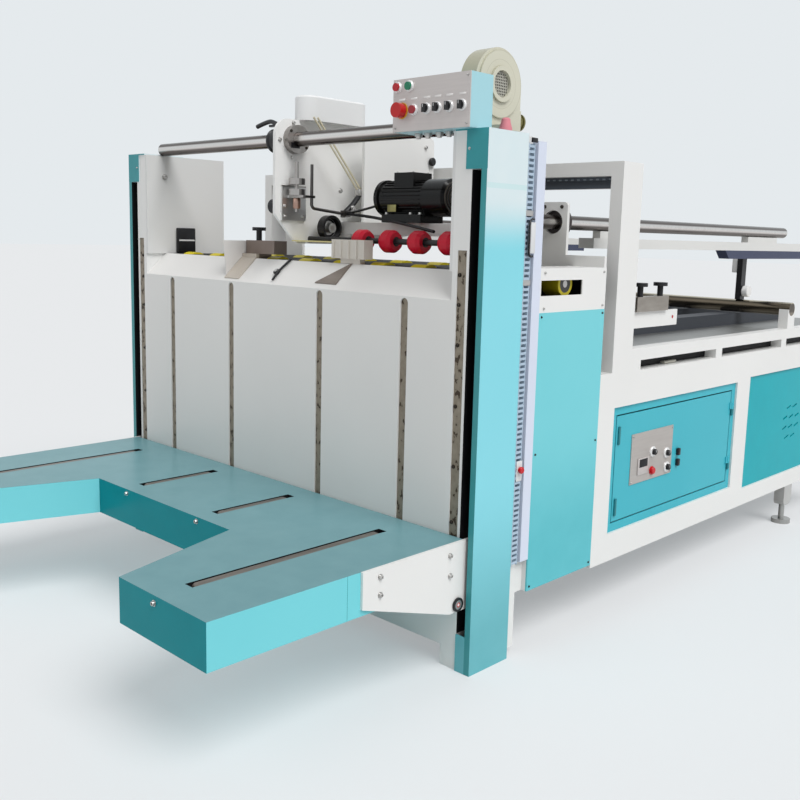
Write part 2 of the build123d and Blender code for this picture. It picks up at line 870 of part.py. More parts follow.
# Adjuster on the head plate: a foot plate, an arm, a spindle with two hand nuts and a bent rod,
# and the pin for the pulley
with BuildPart() as head_adjuster:
    with BuildSketch(Plane.YZ.offset(plate_right)):
        span(adjuster_front, adjuster_rear, adjuster_bottom, adjuster_top)
    extrude(amount=adjuster_sheet)
    arm_bottom = (spindle_bottom + spindle_top - adjuster_knob_gap) / 2 - adjuster_knob_width
    with BuildSketch(Plane.XY.offset(arm_bottom - adjuster_sheet)):
        arm_right = plate_right + adjuster_arm
        span(plate_right, arm_right, spindle_place - 2 * spindle_radius, probe_place + probe_radius)
    extrude(amount=adjuster_sheet)
    with BuildSketch(Plane.XY.offset(spindle_bottom)):
        with Locations((plate_right + spindle_offset, spindle_place)):
            Circle(spindle_radius)
    extrude(amount=spindle_top - spindle_bottom)
    for n in (0, 1):
        nut_bottom = arm_bottom + n * (adjuster_knob_width + adjuster_knob_gap)
        with BuildSketch(Plane.XY.offset(nut_bottom)):
            with Locations((plate_right + spindle_offset, spindle_place)):
                RegularPolygon(adjuster_knob_radius, 16)
        extrude(amount=adjuster_knob_width)
    probe_x = plate_right + probe_offset
    with BuildLine() as probe_path:
        FilletPolyline(
            (probe_x, probe_place, probe_top),
            (probe_x, probe_place, probe_knee),
            (probe_x, probe_end, probe_end_height),
            radius=probe_bend,
        )
    with BuildSketch(Plane(probe_path.line @ 0, z_dir=probe_path.line % 0)):
        Circle(probe_radius)
    sweep()
    with BuildSketch(Plane.YZ.offset(probe_x - probe_radius)):
        with Locations((probe_end, probe_end_height)):
            Rectangle(probe_block, probe_block)
    extrude(amount=probe_block)
    with BuildSketch(Plane.YZ.offset(plate_right)):
        with Locations((pulley_place, pulley_height)):
            Circle(pulley_pin)
    extrude(amount=pulley_offset + pulley_width)
finish(head_adjuster, "head_adjuster")

# Guides for the blanks: a folded box with a tongue down the sloping shelf, a ribbed block with a
# bridge to the head plate, and a three-cornered sheet on the shelf
slope = Plane((0, 0, fold_height), x_dir=(1, 0, 0), z_dir=(0, fold_height - shelf_height, shelf_depth))
slope_length = ((shelf_height - fold_height) ** 2 + shelf_depth**2) ** 0.5
with BuildPart() as blank_guides:
    with BuildSketch(Plane.XY.offset(guide_box_bottom)):
        span(guide_box_left, guide_box_right, guide_box_front, guide_box_rear)
    extrude(amount=guide_box_top - guide_box_bottom)
    with BuildSketch(Plane.XY.offset(guide_box_bottom)):
        box_inner_front = guide_box_front + guide_sheet
        box_inner_left = guide_box_left + guide_sheet
        span(box_inner_left, guide_box_right - guide_sheet, box_inner_front, guide_box_rear)
    extrude(amount=guide_box_top - guide_box_bottom - guide_sheet, mode=Mode.SUBTRACT)
    with BuildSketch(Plane.XY.offset(shelf_height)):
        span(guide_foot_left, guide_foot_right, shelf_depth, guide_box_rear)
    extrude(amount=guide_box_bottom - shelf_height)
    with BuildSketch(slope):
        span(guide_foot_left, guide_foot_right, guide_tongue_start, slope_length + guide_sheet / 2)
    extrude(amount=guide_sheet)
    with BuildSketch(Plane.XY.offset(rib_block_bottom)):
        span(rib_block_left, rib_block_right, rib_block_front, rib_block_rear)
        rib_pitch = (rib_block_right - rib_block_left - rib_width) / (rib_count - 1)
        for n in range(rib_count):
            rib_left = rib_block_left + n * rib_pitch
            span(rib_left, rib_left + rib_width, rib_block_front - rib_depth, rib_block_front)
    extrude(amount=rib_block_top - rib_block_bottom)
    with BuildSketch(Plane.XY.offset(shelf_height)):
        span(rib_foot_left, rib_foot_right, shelf_depth, rib_block_rear)
    extrude(amount=rib_block_bottom - shelf_height)
    with BuildSketch(Plane.XY.offset(bridge_height)):
        span(plate_right, rib_block_left, rib_block_front, bridge_rear)
    extrude(amount=guide_sheet)
    with BuildSketch(slope):
        with BuildLine():
            Polyline(
                (wedge_left, wedge_margin),
                (wedge_right, wedge_margin),
                (wedge_right, slope_length),
                close=True,
            )
        make_face()
    extrude(amount=guide_sheet)
finish(blank_guides, "blank_guides")

# Black knobs: beside the head plate, on the guide box, and two on each rail block
rail_block_top = rail_plate_top + rail_block_height
rail_block_place = frame_inner - rail_plate_sheet / 2
with BuildPart() as clamp_knobs:
    with BuildSketch(Plane.YZ.offset(head_plate_place)):
        with Locations((head_knob_place + knob_radius, head_knob_height)):
            Circle(knob_stem)
    extrude(amount=knob_cap - knob_height)
    with BuildSketch(Plane.YZ.offset(head_plate_place - knob_height)):
        with Locations((head_knob_place + knob_radius, head_knob_height)):
            Circle(knob_radius)
    extrude(amount=2 * knob_cap)
    knob_feet = [((guide_foot_left + guide_foot_right) / 2, guide_box_rear - knob_radius, guide_box_top)]
    for side in (1, -1):
        for place in rail_knob_places:
            knob_feet.append((side * rail_block_place, place, rail_block_top))
    for x, y, z in knob_feet:
        with BuildSketch(Plane.XY.offset(z)):
            with Locations((x, y)):
                Circle(knob_stem)
        extrude(amount=knob_height - knob_cap)
        with BuildSketch(Plane.XY.offset(z + knob_height - knob_cap)):
            with Locations((x, y)):
                Circle(knob_radius)
        extrude(amount=knob_cap)
finish(clamp_knobs, "clamp_knobs")

# Control box on the right column, with a brushed front
with BuildPart() as control_box:
    with BuildSketch(Plane.XY.offset(column_height + cover_sheet)):
        span(box_left, box_right, -device_front, box_depth - box_front)
    extrude(amount=box_height)
finish(control_box, "control_box")

with BuildPart() as control_face:
    with BuildSketch(Plane.XY.offset(column_height + cover_sheet)):
        span(box_left, box_right, -box_front, -device_front)
    extrude(amount=box_height)
finish(control_face, "control_face")

# Lamps, emergency stop, button and selector knobs on the front
with BuildPart() as control_devices:
    round_devices = [(box_left + offset, lamp_height, device_cap, lamp_depth) for offset in lamp_offsets]
    round_devices.append((box_left + stop_offset, device_height, stop_radius, stop_depth))
    round_devices.append((box_left + button_offset, device_height, device_cap, lamp_depth))
    for place, height, cap_radius, depth in round_devices:
        with BuildSketch(Plane.XZ.offset(box_front)):
            with Locations((place, height)):
                Circle(device_ring)
        extrude(amount=device_ring_depth)
        with BuildSketch(Plane.XZ.offset(box_front + device_ring_depth)):
            with Locations((place, height)):
                Circle(cap_radius)
        extrude(amount=depth - device_ring_depth)
    for offset in selector_offsets:
        place = box_left + offset
        with BuildSketch(Plane.XZ.offset(box_front)):
            with Locations((place, device_height)):
                Circle(device_ring)
        extrude(amount=device_ring_depth)
        with BuildSketch(Plane.XZ.offset(box_front + device_ring_depth)):
            with Locations((place, device_height)):
                Rectangle(selector_bar, 2 * device_cap)
        extrude(amount=selector_depth - device_ring_depth)
finish(control_devices, "control_devices")

# Blower behind the control box: a spiral housing with an outlet at the foot, a raised side cover
# and an inlet rim
rear_radius, front_radius, foot_radius_of_spiral = blower_radii
spiral_foot = blower_height - (front_radius - rear_radius) - foot_radius_of_spiral
with BuildPart() as blower:
    with BuildSketch(Plane.YZ.offset(blower_face - blower_width)):
        with BuildLine():
            rear_arc = JernArc((blower_place + rear_radius, blower_height), (0, 1), rear_radius, 90)
            top_arc = JernArc(rear_arc @ 1, rear_arc % 1, front_radius, 90)
            front_arc = JernArc(top_arc @ 1, top_arc % 1, foot_radius_of_spiral, 90)
            outlet_top = spiral_foot + blower_outlet_height
            Polyline(
                front_arc @ 1,
                (blower_outlet_end, spiral_foot),
                (blower_outlet_end, outlet_top),
                (blower_place + rear_radius, outlet_top),
                rear_arc @ 0,
            )
        make_face()
    extrude(amount=blower_width)
    with BuildSketch(Plane.YZ.offset(blower_face)):
        with Locations((blower_place, blower_height)):
            Circle(rear_radius - blower_step)
    extrude(amount=blower_step_depth)
    with BuildSketch(Plane.YZ.offset(blower_face + blower_step_depth)):
        with Locations((blower_place, blower_height)):
            Circle(inlet_radius + inlet_rim)
    extrude(amount=inlet_rim_depth)
    with BuildSketch(Plane.YZ.offset(blower_face + blower_step_depth + inlet_rim_depth)):
        with Locations((blower_place, blower_height)):
            Circle(inlet_radius)
    extrude(amount=-inlet_depth, mode=Mode.SUBTRACT)
    with BuildSketch(Plane.XY.offset(column_height + cover_sheet)):
        blower_left = blower_face - blower_width
        span(blower_left, blower_foot_right, blower_foot_front, blower_foot_rear)
    extrude(amount=spiral_foot - column_height)
finish(blower, "blower")

# Side frames of the body, with an opening for each bay and a row of slots above
def bay_heights(bay):
    """Lower and upper edge of a bay's opening."""
    if bay == 0:
        return door_panel_bottom, door_panel_top
    return vent_panel_bottom, vent_panel_top


with BuildPart() as side_frames:
    for side in (1, -1):
        with BuildSketch(Plane.YZ.offset(side * half_width)):
            span(feeder_end, body_end, frame_bottom, notch_height)
            span(portal_step, body_end, notch_height, frame_top)
            for bay in range(bay_count):
                low, high = bay_heights(bay)
                with Locations((bay_start(bay) + panel_length / 2, (low + high) / 2)):
                    Rectangle(panel_length, high - low, mode=Mode.SUBTRACT)
            for n in range(side_slot_count):
                start = feeder_end + side_slot_first + n * side_slot_pitch
                with Locations((start + side_slot_length / 2, side_slot_bottom + side_slot_height / 2)):
                    Rectangle(side_slot_length, side_slot_height, mode=Mode.SUBTRACT)
        extrude(amount=-side * frame_sheet)
finish(side_frames, "side_frames")

# Teal panels: on the feeder's housings, and in the bays that have no door. The panel of the last
# bay on the right has a round field of slanting air slots.
with BuildPart() as side_panels:
    for side in (1, -1):
        with BuildSketch(Plane.XY.offset(housing_bottom)):
            span(side * (half_width - panel_sheet), side * half_width, guard_rear, feeder_end)
        extrude(amount=teal_side_top - housing_bottom)
        for bay in range(bay_count):
            if side > 0 and bay == 0:
                continue
            with BuildSketch(Plane.YZ.offset(side * panel_outer)):
                span(bay_start(bay), bay_start(bay) + panel_length, *bay_heights(bay))
                if side > 0 and bay == bay_count - 1:
                    for rows_apart, slots_in_row in ((vent_row_pitch, 3), (3 * vent_row_pitch, 2)):
                        with Locations((vent_place, vent_height)):
                            with GridLocations(vent_slot_pitch, rows_apart, slots_in_row, 2):
                                Rectangle(
                                    vent_slot_length,
                                    vent_slot_height,
                                    rotation=vent_slot_tilt,
                                    mode=Mode.SUBTRACT,
                                )
            extrude(amount=-side * panel_sheet)
finish(side_panels, "side_panels")

# Surround of the cabinet door in the first bay on the right
door_front = bay_start(0) + door_margin
door_rear = bay_start(0) + panel_length - door_margin
door_bottom = door_panel_bottom + door_margin
door_top = door_panel_top - door_margin
with BuildPart() as door_surround:
    with BuildSketch(Plane.YZ.offset(panel_outer)):
        span(bay_start(0), bay_start(0) + panel_length, door_panel_bottom, door_panel_top)
        with Locations(((door_front + door_rear) / 2, (door_bottom + door_top) / 2)):
            Rectangle(door_rear - door_front, door_top - door_bottom, mode=Mode.SUBTRACT)
    extrude(amount=-panel_sheet)
finish(door_surround, "door_surround")

# Cabinet door hung at its rear edge
hinge_places = (door_bottom + hinge_inset, door_top - hinge_inset)
hinge_x = panel_outer + hinge_gap + hinge_radius
with BuildPart() as cabinet_door:
    with BuildSketch(Plane.YZ.offset(panel_outer)):
        with Locations(((door_front + door_rear) / 2, (door_bottom + door_top) / 2)):
            Rectangle(door_rear - door_front - 2 * door_gap, door_top - door_bottom - 2 * door_gap)
    extrude(amount=-panel_sheet)
    for place in hinge_places:
        with BuildSketch(Plane.XY.offset(place + hinge_gap)):
            with Locations((hinge_x, door_rear)):
                Circle(hinge_radius)
            span(panel_outer, hinge_x, door_rear - hinge_leaf, door_rear)
        extrude(amount=hinge_length / 2)
finish(cabinet_door, "cabinet_door")

# Brushed plate for the switches on the door
with BuildPart() as door_plate:
    with BuildSketch(Plane.YZ.offset(panel_outer)):
        door_plate_rear = door_plate_front + door_plate_length
        door_plate_top = door_plate_bottom + door_plate_height
        span(door_plate_front, door_plate_rear, door_plate_bottom, door_plate_top)
    extrude(amount=door_plate_sheet)
finish(door_plate, "door_plate")

with BuildPart() as door_hinges:
    for place in hinge_places:
        with BuildSketch(Plane.XY.offset(place)):
            with Locations((hinge_x, door_rear)):
                Circle(hinge_radius)
            span(panel_outer, hinge_x, door_rear, door_rear + hinge_leaf)
        extrude(amount=-hinge_length / 2)
finish(door_hinges, "door_hinges")

# Box behind the door
with BuildPart() as cabinet_box:
    with BuildSketch(Plane.YZ.offset(panel_inner)):
        with Locations(((door_front + door_rear) / 2, (door_bottom + door_top) / 2)):
            box_length = door_rear - door_front + 2 * cabinet_sheet
            Rectangle(box_length, door_top - door_bottom + 2 * cabinet_sheet)
    extrude(amount=-cabinet_depth)
    with BuildSketch(Plane.YZ.offset(panel_inner)):
        span(door_front, door_rear, door_bottom, door_top)
    extrude(amount=cabinet_sheet - cabinet_depth, mode=Mode.SUBTRACT)
finish(cabinet_box, "cabinet_box")

# Bed sheet between the side frames
with BuildPart() as bed_plate:
    with BuildSketch(Plane.XY.offset(frame_top - bed_sheet)):
        span(-frame_inner, frame_inner, feeder_end, body_end)
    extrude(amount=bed_sheet)
finish(bed_plate, "bed_plate")

# Conveyor belts: closed loops on the bed sheet, and a folding belt under each folding beam
fold_belt_top = beam_top_height - fold_beam_height
with BuildPart() as conveyor_belts:
    for n in range(belt_count):
        place = (n - (belt_count - 1) / 2) * belt_pitch
        with BuildSketch(Plane.YZ.offset(place - belt_width / 2)):
            with Locations(((feeder_end + body_end) / 2, frame_top + belt_radius)):
                SlotOverall(body_end - feeder_end - 2 * belt_radius, 2 * belt_radius)
        extrude(amount=belt_width)
    for place in tube_places:
        with BuildSketch(Plane.YZ.offset(place + fold_belt_offset - fold_belt_width / 2)):
            with BuildLine():
                Polyline(
                    (fold_belt_front, fold_belt_top),
                    (fold_belt_front + fold_belt_slant, fold_belt_top - fold_belt_height),
                    (body_end, fold_belt_top - fold_belt_height),
                    (body_end, fold_belt_top),
                    close=True,
                )
            make_face()
        extrude(amount=fold_belt_width)
finish(conveyor_belts, "conveyor_belts")

# Portal over the bed, standing in the side frames, and the grooved rail under its beam
with BuildPart() as portal:
    with BuildSketch(Plane.XZ.offset(-portal_front)):
        for side in (1, -1):
            span(side * frame_inner, side * half_width, notch_height, portal_top)
        span(-half_width, half_width, portal_top - portal_beam_height, portal_top)
    extrude(amount=-portal_leg_depth)
finish(portal, "portal")

rail_top = portal_top - portal_beam_height
rail_front = portal_front + (portal_leg_depth - rail_depth) / 2
with BuildPart() as portal_rail:
    with BuildSketch(Plane.YZ.offset(-frame_inner)):
        span(rail_front, rail_front + rail_depth, rail_top - rail_height, rail_top)
        groove_middle = rail_top - rail_height / 2
        with Locations((rail_front + rail_groove_depth / 2, groove_middle)):
            Rectangle(rail_groove_depth, rail_groove, mode=Mode.SUBTRACT)
    extrude(amount=2 * frame_inner)
finish(portal_rail, "portal_rail")

# Feet under the body: a rounded block on a stem with a round pad
with BuildPart() as body_feet:
    for side in (1, -1):
        with BuildSketch(Plane.YZ.offset(side * half_width)):
            foot_front = foot_place - foot_block / 2
            span(foot_front, foot_front + foot_block, foot_block_bottom, frame_bottom)
            fillet(vertices().group_by(Axis.Y)[0], foot_block_corner)
        extrude(amount=-side * frame_sheet)
        with Locations((side * (half_width - frame_sheet / 2), foot_place)):
            Cylinder(foot_radius, foot_height, align=(Align.CENTER, Align.CENTER, Align.MIN))
            stem_height = foot_block_bottom + foot_height
            Cylinder(foot_stem_radius, stem_height, align=(Align.CENTER, Align.CENTER, Align.MIN))
finish(body_feet, "body_feet")

# Bearing plates for the long tubes: the right one stands on the gear cover and the bed, with a
# flange out to the machine's side, the left one on the bed
with BuildPart() as bearing_plates:
    for place in tube_places:
        with BuildSketch(Plane.XZ.offset(-bearing_plate_place)):
            plate_left = place - bearing_plate_width / 2
            span(plate_left, plate_left + bearing_plate_width, shelf_height, bearing_plate_top)
            fillet(vertices().group_by(Axis.Y)[-1], bearing_plate_corner)
            if place == right_tube_place:
                span(plate_left, half_width, bearing_plate_foot, bearing_plate_step)
            with Locations((place, long_tube_height)):
                Circle(bearing_plate_hole, mode=Mode.SUBTRACT)
        extrude(amount=-bearing_plate_sheet)
finish(bearing_plates, "bearing_plates")

# Black round bearings: behind the bearing plates, and the clamp collar beside the head plate
with BuildPart() as tube_bearings:
    for place in tube_places:
        with BuildSketch(Plane.XZ.offset(-bearing_plate_place - bearing_plate_sheet)):
            with Locations((place, long_tube_height)):
                Circle(bearing_flange_radius)
                Circle(tube_radius + bearing_gap, mode=Mode.SUBTRACT)
        extrude(amount=-bearing_flange_width)
    with BuildSketch(Plane.YZ.offset(head_plate_place)):
        with Locations((tube_place, tube_height)):
            Circle(collar_radius)
            Circle(tube_radius + bearing_gap, mode=Mode.SUBTRACT)
    extrude(amount=-collar_width)
finish(tube_bearings, "tube_bearings")

# Folding beams under the tubes, each held to its tube by a short and a long saddle
tube_underside = long_tube_height - tube_radius
with BuildPart() as fold_beams:
    for place in tube_places:
        with BuildSketch(Plane.XZ.offset(-fold_beam_front)):
            with Locations((place, beam_top_height - fold_beam_height / 2)):
                Rectangle(fold_beam_width, fold_beam_height)
        extrude(amount=fold_beam_front - body_end)
        with BuildSketch(Plane.XY.offset(beam_top_height)):
            saddle_left = place - saddle_width / 2
            saddle_right = place + saddle_width / 2
            front_saddle = fold_beam_front + saddle_length
            span(saddle_left, saddle_right, front_saddle, front_saddle + saddle_length)
            span(saddle_left, saddle_right, rear_saddle_front, rear_saddle_rear)
        extrude(amount=tube_underside - beam_top_height)
finish(fold_beams, "fold_beams")

# Black posts that stand on the cross rod and carry the rear of the folding beams
rod_top = rod_height + rod_radius
with BuildPart() as beam_posts:
    for place in tube_places:
        with BuildSketch(Plane.XY.offset(rod_top)):
            with Locations((place - post_bar_offset, rod_place)):
                Rectangle(post_bar_width, post_bar_depth)
        extrude(amount=fold_belt_top - rod_top)
finish(beam_posts, "beam_posts")

# Cross rod over the bed belts, cradled in blocks on the side frames
with BuildPart() as cross_rod:
    with BuildSketch(Plane.YZ.offset(-half_width)):
        with Locations((rod_place, rod_height)):
            Circle(rod_radius)
    extrude(amount=2 * half_width)
finish(cross_rod, "cross_rod")

# White blocks for the cross rod on the side frames, and rail plates on the portal's legs
with BuildPart() as frame_blocks:
    for side in (1, -1):
        with BuildSketch(Plane.YZ.offset(side * half_width)):
            with Locations((rod_place, (frame_top + rod_height) / 2)):
                Rectangle(rod_block_depth, rod_height - frame_top)
            with Locations((rod_place, rod_height)):
                Circle(rod_radius + bearing_gap, mode=Mode.SUBTRACT)
        extrude(amount=-side * rod_block_width)
        with BuildSketch(Plane.YZ.offset(side * frame_inner)):
            rail_plate_front = portal_front + rail_plate_inset
            span(rail_plate_front, rail_plate_rear, rail_plate_bottom, rail_plate_top)
        extrude(amount=-side * rail_plate_sheet)
finish(frame_blocks, "frame_blocks")

# Steel blocks on the rail plates
with BuildPart() as rail_blocks:
    for side in (1, -1):
        with BuildSketch(Plane.XY.offset(rail_plate_top)):
            block_inner = rail_block_place - rail_block_width / 2
            block_outer = rail_block_place + rail_block_width / 2
            span(side * block_inner, side * block_outer, rail_block_front, rail_block_rear)
        extrude(amount=rail_block_height)
finish(rail_blocks, "rail_blocks")
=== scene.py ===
"""Folder gluer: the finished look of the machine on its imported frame.

Metres, +Z up, +X across the machine, +Y the way the blanks travel. Sizes in the calls are in
millimetres with Y from the columns' front faces, as a fitter would measure them.
"""
import json
import math

import bpy
from mathutils import Matrix, Vector

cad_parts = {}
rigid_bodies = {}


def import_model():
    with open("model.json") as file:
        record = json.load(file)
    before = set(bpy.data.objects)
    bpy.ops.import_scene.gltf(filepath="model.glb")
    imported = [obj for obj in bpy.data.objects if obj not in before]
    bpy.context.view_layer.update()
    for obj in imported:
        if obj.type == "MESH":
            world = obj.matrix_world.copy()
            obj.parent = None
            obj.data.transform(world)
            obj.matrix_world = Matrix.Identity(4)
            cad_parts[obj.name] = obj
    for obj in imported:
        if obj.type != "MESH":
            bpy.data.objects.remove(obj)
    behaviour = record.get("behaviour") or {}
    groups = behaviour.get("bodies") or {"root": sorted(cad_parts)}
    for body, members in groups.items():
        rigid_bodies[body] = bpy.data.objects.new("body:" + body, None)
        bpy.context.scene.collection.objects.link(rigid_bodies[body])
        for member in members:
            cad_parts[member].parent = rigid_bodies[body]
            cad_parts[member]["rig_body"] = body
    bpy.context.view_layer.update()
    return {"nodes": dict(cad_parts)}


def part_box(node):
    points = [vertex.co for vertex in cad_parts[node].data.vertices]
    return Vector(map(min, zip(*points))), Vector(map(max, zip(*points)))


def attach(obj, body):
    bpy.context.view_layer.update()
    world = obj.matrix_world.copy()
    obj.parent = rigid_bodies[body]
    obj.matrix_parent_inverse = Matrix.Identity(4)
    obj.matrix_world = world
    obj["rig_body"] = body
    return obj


bpy.context.scene.view_settings.view_transform = "Standard"
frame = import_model()
nodes = frame["nodes"]
bpy.ops.object.select_all(action="DESELECT")


# Studio: a wide pale floor and a pale surround. The surround lights the machine evenly, and a
# large lamp from the right and a weaker one from the front give soft shadows on the floor.
def worked_out(tree, operation, first, second=None):
    """The output of one Math node; each side is a socket or a number."""
    node = tree.nodes.new("ShaderNodeMath")
    node.operation = operation
    for socket, value in zip(node.inputs, (first, second)):
        if isinstance(value, (int, float)):
            socket.default_value = value
        elif value is not None:
            tree.links.new(value, socket)
    return node.outputs[0]


def shining(tree, kind, colour, strength):
    """A shader that gives off light of its own: a Background or an Emission."""
    node = tree.nodes.new(f"ShaderNode{kind}")
    node.inputs["Color"].default_value = colour
    node.inputs["Strength"].default_value = strength
    return node


def shown(tree, output, share, first, second):
    """Lead two shaders, mixed by a share, to the surface of an output node."""
    mix = tree.nodes.new("ShaderNodeMixShader")
    for socket, source in zip(mix.inputs, (share, first.outputs[0], second.outputs[0])):
        tree.links.new(source, socket)
    tree.links.new(mix.outputs[0], output.inputs["Surface"])


surround_colour = (0.783, 0.823, 0.847, 1)
world = bpy.data.worlds.new("studio")
bpy.context.scene.world = world
world.use_nodes = True
world_tree = world.node_tree
world_tree.nodes.clear()
world_out = world_tree.nodes.new("ShaderNodeOutputWorld")
lighting = shining(world_tree, "Background", (0.99, 0.99, 1.0, 1), 0.32)
seen = shining(world_tree, "Background", surround_colour, 1.0)
rays = world_tree.nodes.new("ShaderNodeLightPath").outputs
seen_share = worked_out(world_tree, "MAXIMUM", rays["Is Camera Ray"], rays["Is Glossy Ray"])
seen_share = worked_out(world_tree, "MAXIMUM", seen_share, rays["Is Transmission Ray"])
shown(world_tree, world_out, seen_share, lighting, seen)

floor_reach = 60
bpy.ops.mesh.primitive_plane_add(size=2 * floor_reach)
floor = bpy.context.object
floor.name = "floor"
floor_material = bpy.data.materials.new("floor")
floor_material.use_nodes = True
floor_tree = floor_material.node_tree
floor_tree.nodes.clear()
floor_out = floor_tree.nodes.new("ShaderNodeOutputMaterial")
matt = floor_tree.nodes.new("ShaderNodeBsdfDiffuse")
matt.inputs["Color"].default_value = (0.79, 0.79, 0.795, 1)
glow = shining(floor_tree, "Emission", surround_colour, 1.0)
camera_ray = floor_tree.nodes.new("ShaderNodeLightPath").outputs["Is Camera Ray"]
glow_share = worked_out(floor_tree, "MULTIPLY", camera_ray, 0.42)
shown(floor_tree, floor_out, glow_share, matt, glow)
floor.data.materials.append(floor_material)

for lamp_name, strength, spread, towards in (
    ("side_lamp", 2.5, 36, (0.60, -0.08, 0.80)),
    ("front_lamp", 0.45, 50, (-0.25, -0.75, 0.61)),
):
    lamp = bpy.data.lights.new(lamp_name, "SUN")
    lamp.energy = strength
    lamp.angle = math.radians(spread)
    lamp_object = bpy.data.objects.new(lamp_name, lamp)
    lamp_object.rotation_euler = Vector(towards).to_track_quat("Z", "Y").to_euler()
    bpy.context.scene.collection.objects.link(lamp_object)


# Camera: a 42 mm lens 1.2 m above the floor before the front right corner, turned and rolled a
# little, as solved from the straight edges in the photo.
azimuth = math.radians(43.74)
dip = math.radians(8.73)
roll = math.radians(1.50)
level_forward = Vector((-math.sin(azimuth), math.cos(azimuth), 0))
forward = level_forward * math.cos(dip) - Vector((0, 0, math.sin(dip)))
level_right = Vector((math.cos(azimuth), math.sin(azimuth), 0))
level_up = level_right.cross(forward)
right = level_right * math.cos(roll) + level_up * math.sin(roll)
up = level_up * math.cos(roll) - level_right * math.sin(roll)
camera_data = bpy.data.cameras.new("camera")
camera_data.sensor_width = 36
camera_data.lens = 42.35
camera_data.shift_x = -0.01274
camera_data.shift_y = -0.02515
camera_data.clip_end = 200
camera_place = (2.48767, -2.84587, 1.22351)
camera = bpy.data.objects.new("camera", camera_data)
camera.matrix_world = Matrix.Translation(camera_place) @ Matrix(
    (
        (right.x, up.x, -forward.x, 0),
        (right.y, up.y, -forward.y, 0),
        (right.z, up.z, -forward.z, 0),
        (0, 0, 0, 1),
    )
)
bpy.context.scene.collection.objects.link(camera)
bpy.context.scene.camera = camera


# Posts: white powder-coated square tubes, two tall ones at the table and a narrower one behind
# each, painted black inside the guide slot beside them for its shade. The frame's Y starts
# column_front millimetres behind the front faces of the columns.
column_front = 914


def two_tones(tree, where, scale, detail, colour, shade):
    """Two close tones in soft patches: the outputs of the patches and of the mixed colour."""
    patches = tree.nodes.new("ShaderNodeTexNoise")
    patches.inputs["Scale"].default_value = scale
    patches.inputs["Detail"].default_value = detail
    tree.links.new(where.outputs["Object"], patches.inputs["Vector"])
    tones = tree.nodes.new("ShaderNodeMix")
    tones.data_type = "RGBA"
    tones.inputs[6].default_value = (*colour, 1)
    tones.inputs[7].default_value = (*shade, 1)
    tree.links.new(patches.outputs["Fac"], tones.inputs[0])
    return patches.outputs["Fac"], tones.outputs[2]


def powder_coat(
    name, slot, colour, shade, roughness=0.36, peel=0.10, grain=260.0, coat=0.12, gloss=0.28
):
    """Material for painted sheet: two close tones in soft patches, fine bump, clear top coat."""
    material = bpy.data.materials.new(name)
    material["slot"] = slot
    material.use_nodes = True
    tree = material.node_tree
    shader = tree.nodes["Principled BSDF"]
    shader.inputs["Specular IOR Level"].default_value = gloss
    shader.inputs["Coat Weight"].default_value = coat
    shader.inputs["Coat Roughness"].default_value = 0.1
    where = tree.nodes.new("ShaderNodeTexCoord")
    patches, tones = two_tones(tree, where, 2.3, 5.0, colour, shade)
    tree.links.new(tones, shader.inputs["Base Color"])
    wear = tree.nodes.new("ShaderNodeMapRange")
    wear.inputs["To Min"].default_value = roughness - 0.06
    wear.inputs["To Max"].default_value = roughness + 0.08
    tree.links.new(patches, wear.inputs["Value"])
    tree.links.new(wear.outputs["Result"], shader.inputs["Roughness"])
    skin = tree.nodes.new("ShaderNodeTexNoise")
    skin.inputs["Scale"].default_value = grain
    skin.inputs["Detail"].default_value = 2.0
    tree.links.new(where.outputs["Object"], skin.inputs["Vector"])
    bump = tree.nodes.new("ShaderNodeBump")
    bump.inputs["Strength"].default_value = peel
    bump.inputs["Distance"].default_value = 0.0006
    tree.links.new(skin.outputs["Fac"], bump.inputs["Height"])
    tree.links.new(bump.outputs["Normal"], shader.inputs["Normal"])
    return material


def axes(tree):
    """The three coordinates of the frame in metres, as a material reads them."""
    where = tree.nodes.new("ShaderNodeTexCoord")
    split = tree.nodes.new("ShaderNodeSeparateXYZ")
    tree.links.new(where.outputs["Object"], split.inputs[0])
    return split.outputs


def inside_box(material, low, high, mirrored=False):
    """A mask that is 1 inside a box given in millimetres. None leaves a side open."""
    tree = material.node_tree
    mask = None
    for axis, (reading, least, most) in enumerate(zip(axes(tree), low, high)):
        if axis == 0 and mirrored:
            reading = worked_out(tree, "ABSOLUTE", reading)
        for limit, operation in ((least, "GREATER_THAN"), (most, "LESS_THAN")):
            if limit is not None:
                metres = (limit - column_front) / 1000 if axis == 1 else limit / 1000
                test = worked_out(tree, operation, reading, metres)
                mask = test if mask is None else worked_out(tree, "MULTIPLY", mask, test)
    return mask


def repaint(material, mask, colour, shade, metallic=None):
    """Put two other close tones, and if wished a metal, on a material where a mask is 1."""
    tree = material.node_tree
    shader = tree.nodes["Principled BSDF"]
    where = tree.nodes.new("ShaderNodeTexCoord")
    tones = two_tones(tree, where, 14.0, 4.0, colour, shade)[1]
    over = tree.nodes.new("ShaderNodeMix")
    over.data_type = "RGBA"
    tree.links.new(mask, over.inputs[0])
    tree.links.new(shader.inputs["Base Color"].links[0].from_socket, over.inputs[6])
    tree.links.new(tones, over.inputs[7])
    tree.links.new(over.outputs[2], shader.inputs["Base Color"])
    if metallic is not None:
        metal = tree.nodes.new("ShaderNodeMix")
        metal.data_type = "FLOAT"
        tree.links.new(mask, metal.inputs[0])
        if shader.inputs["Metallic"].links:
            tree.links.new(shader.inputs["Metallic"].links[0].from_socket, metal.inputs[2])
        else:
            metal.inputs[2].default_value = shader.inputs["Metallic"].default_value
        metal.inputs[3].default_value = metallic
        tree.links.new(metal.outputs[0], shader.inputs["Metallic"])


def finish_node(name, material):
    """Give a node of the frame its material."""
    mesh = nodes[name].data
    mesh.materials.clear()
    mesh.materials.append(material)


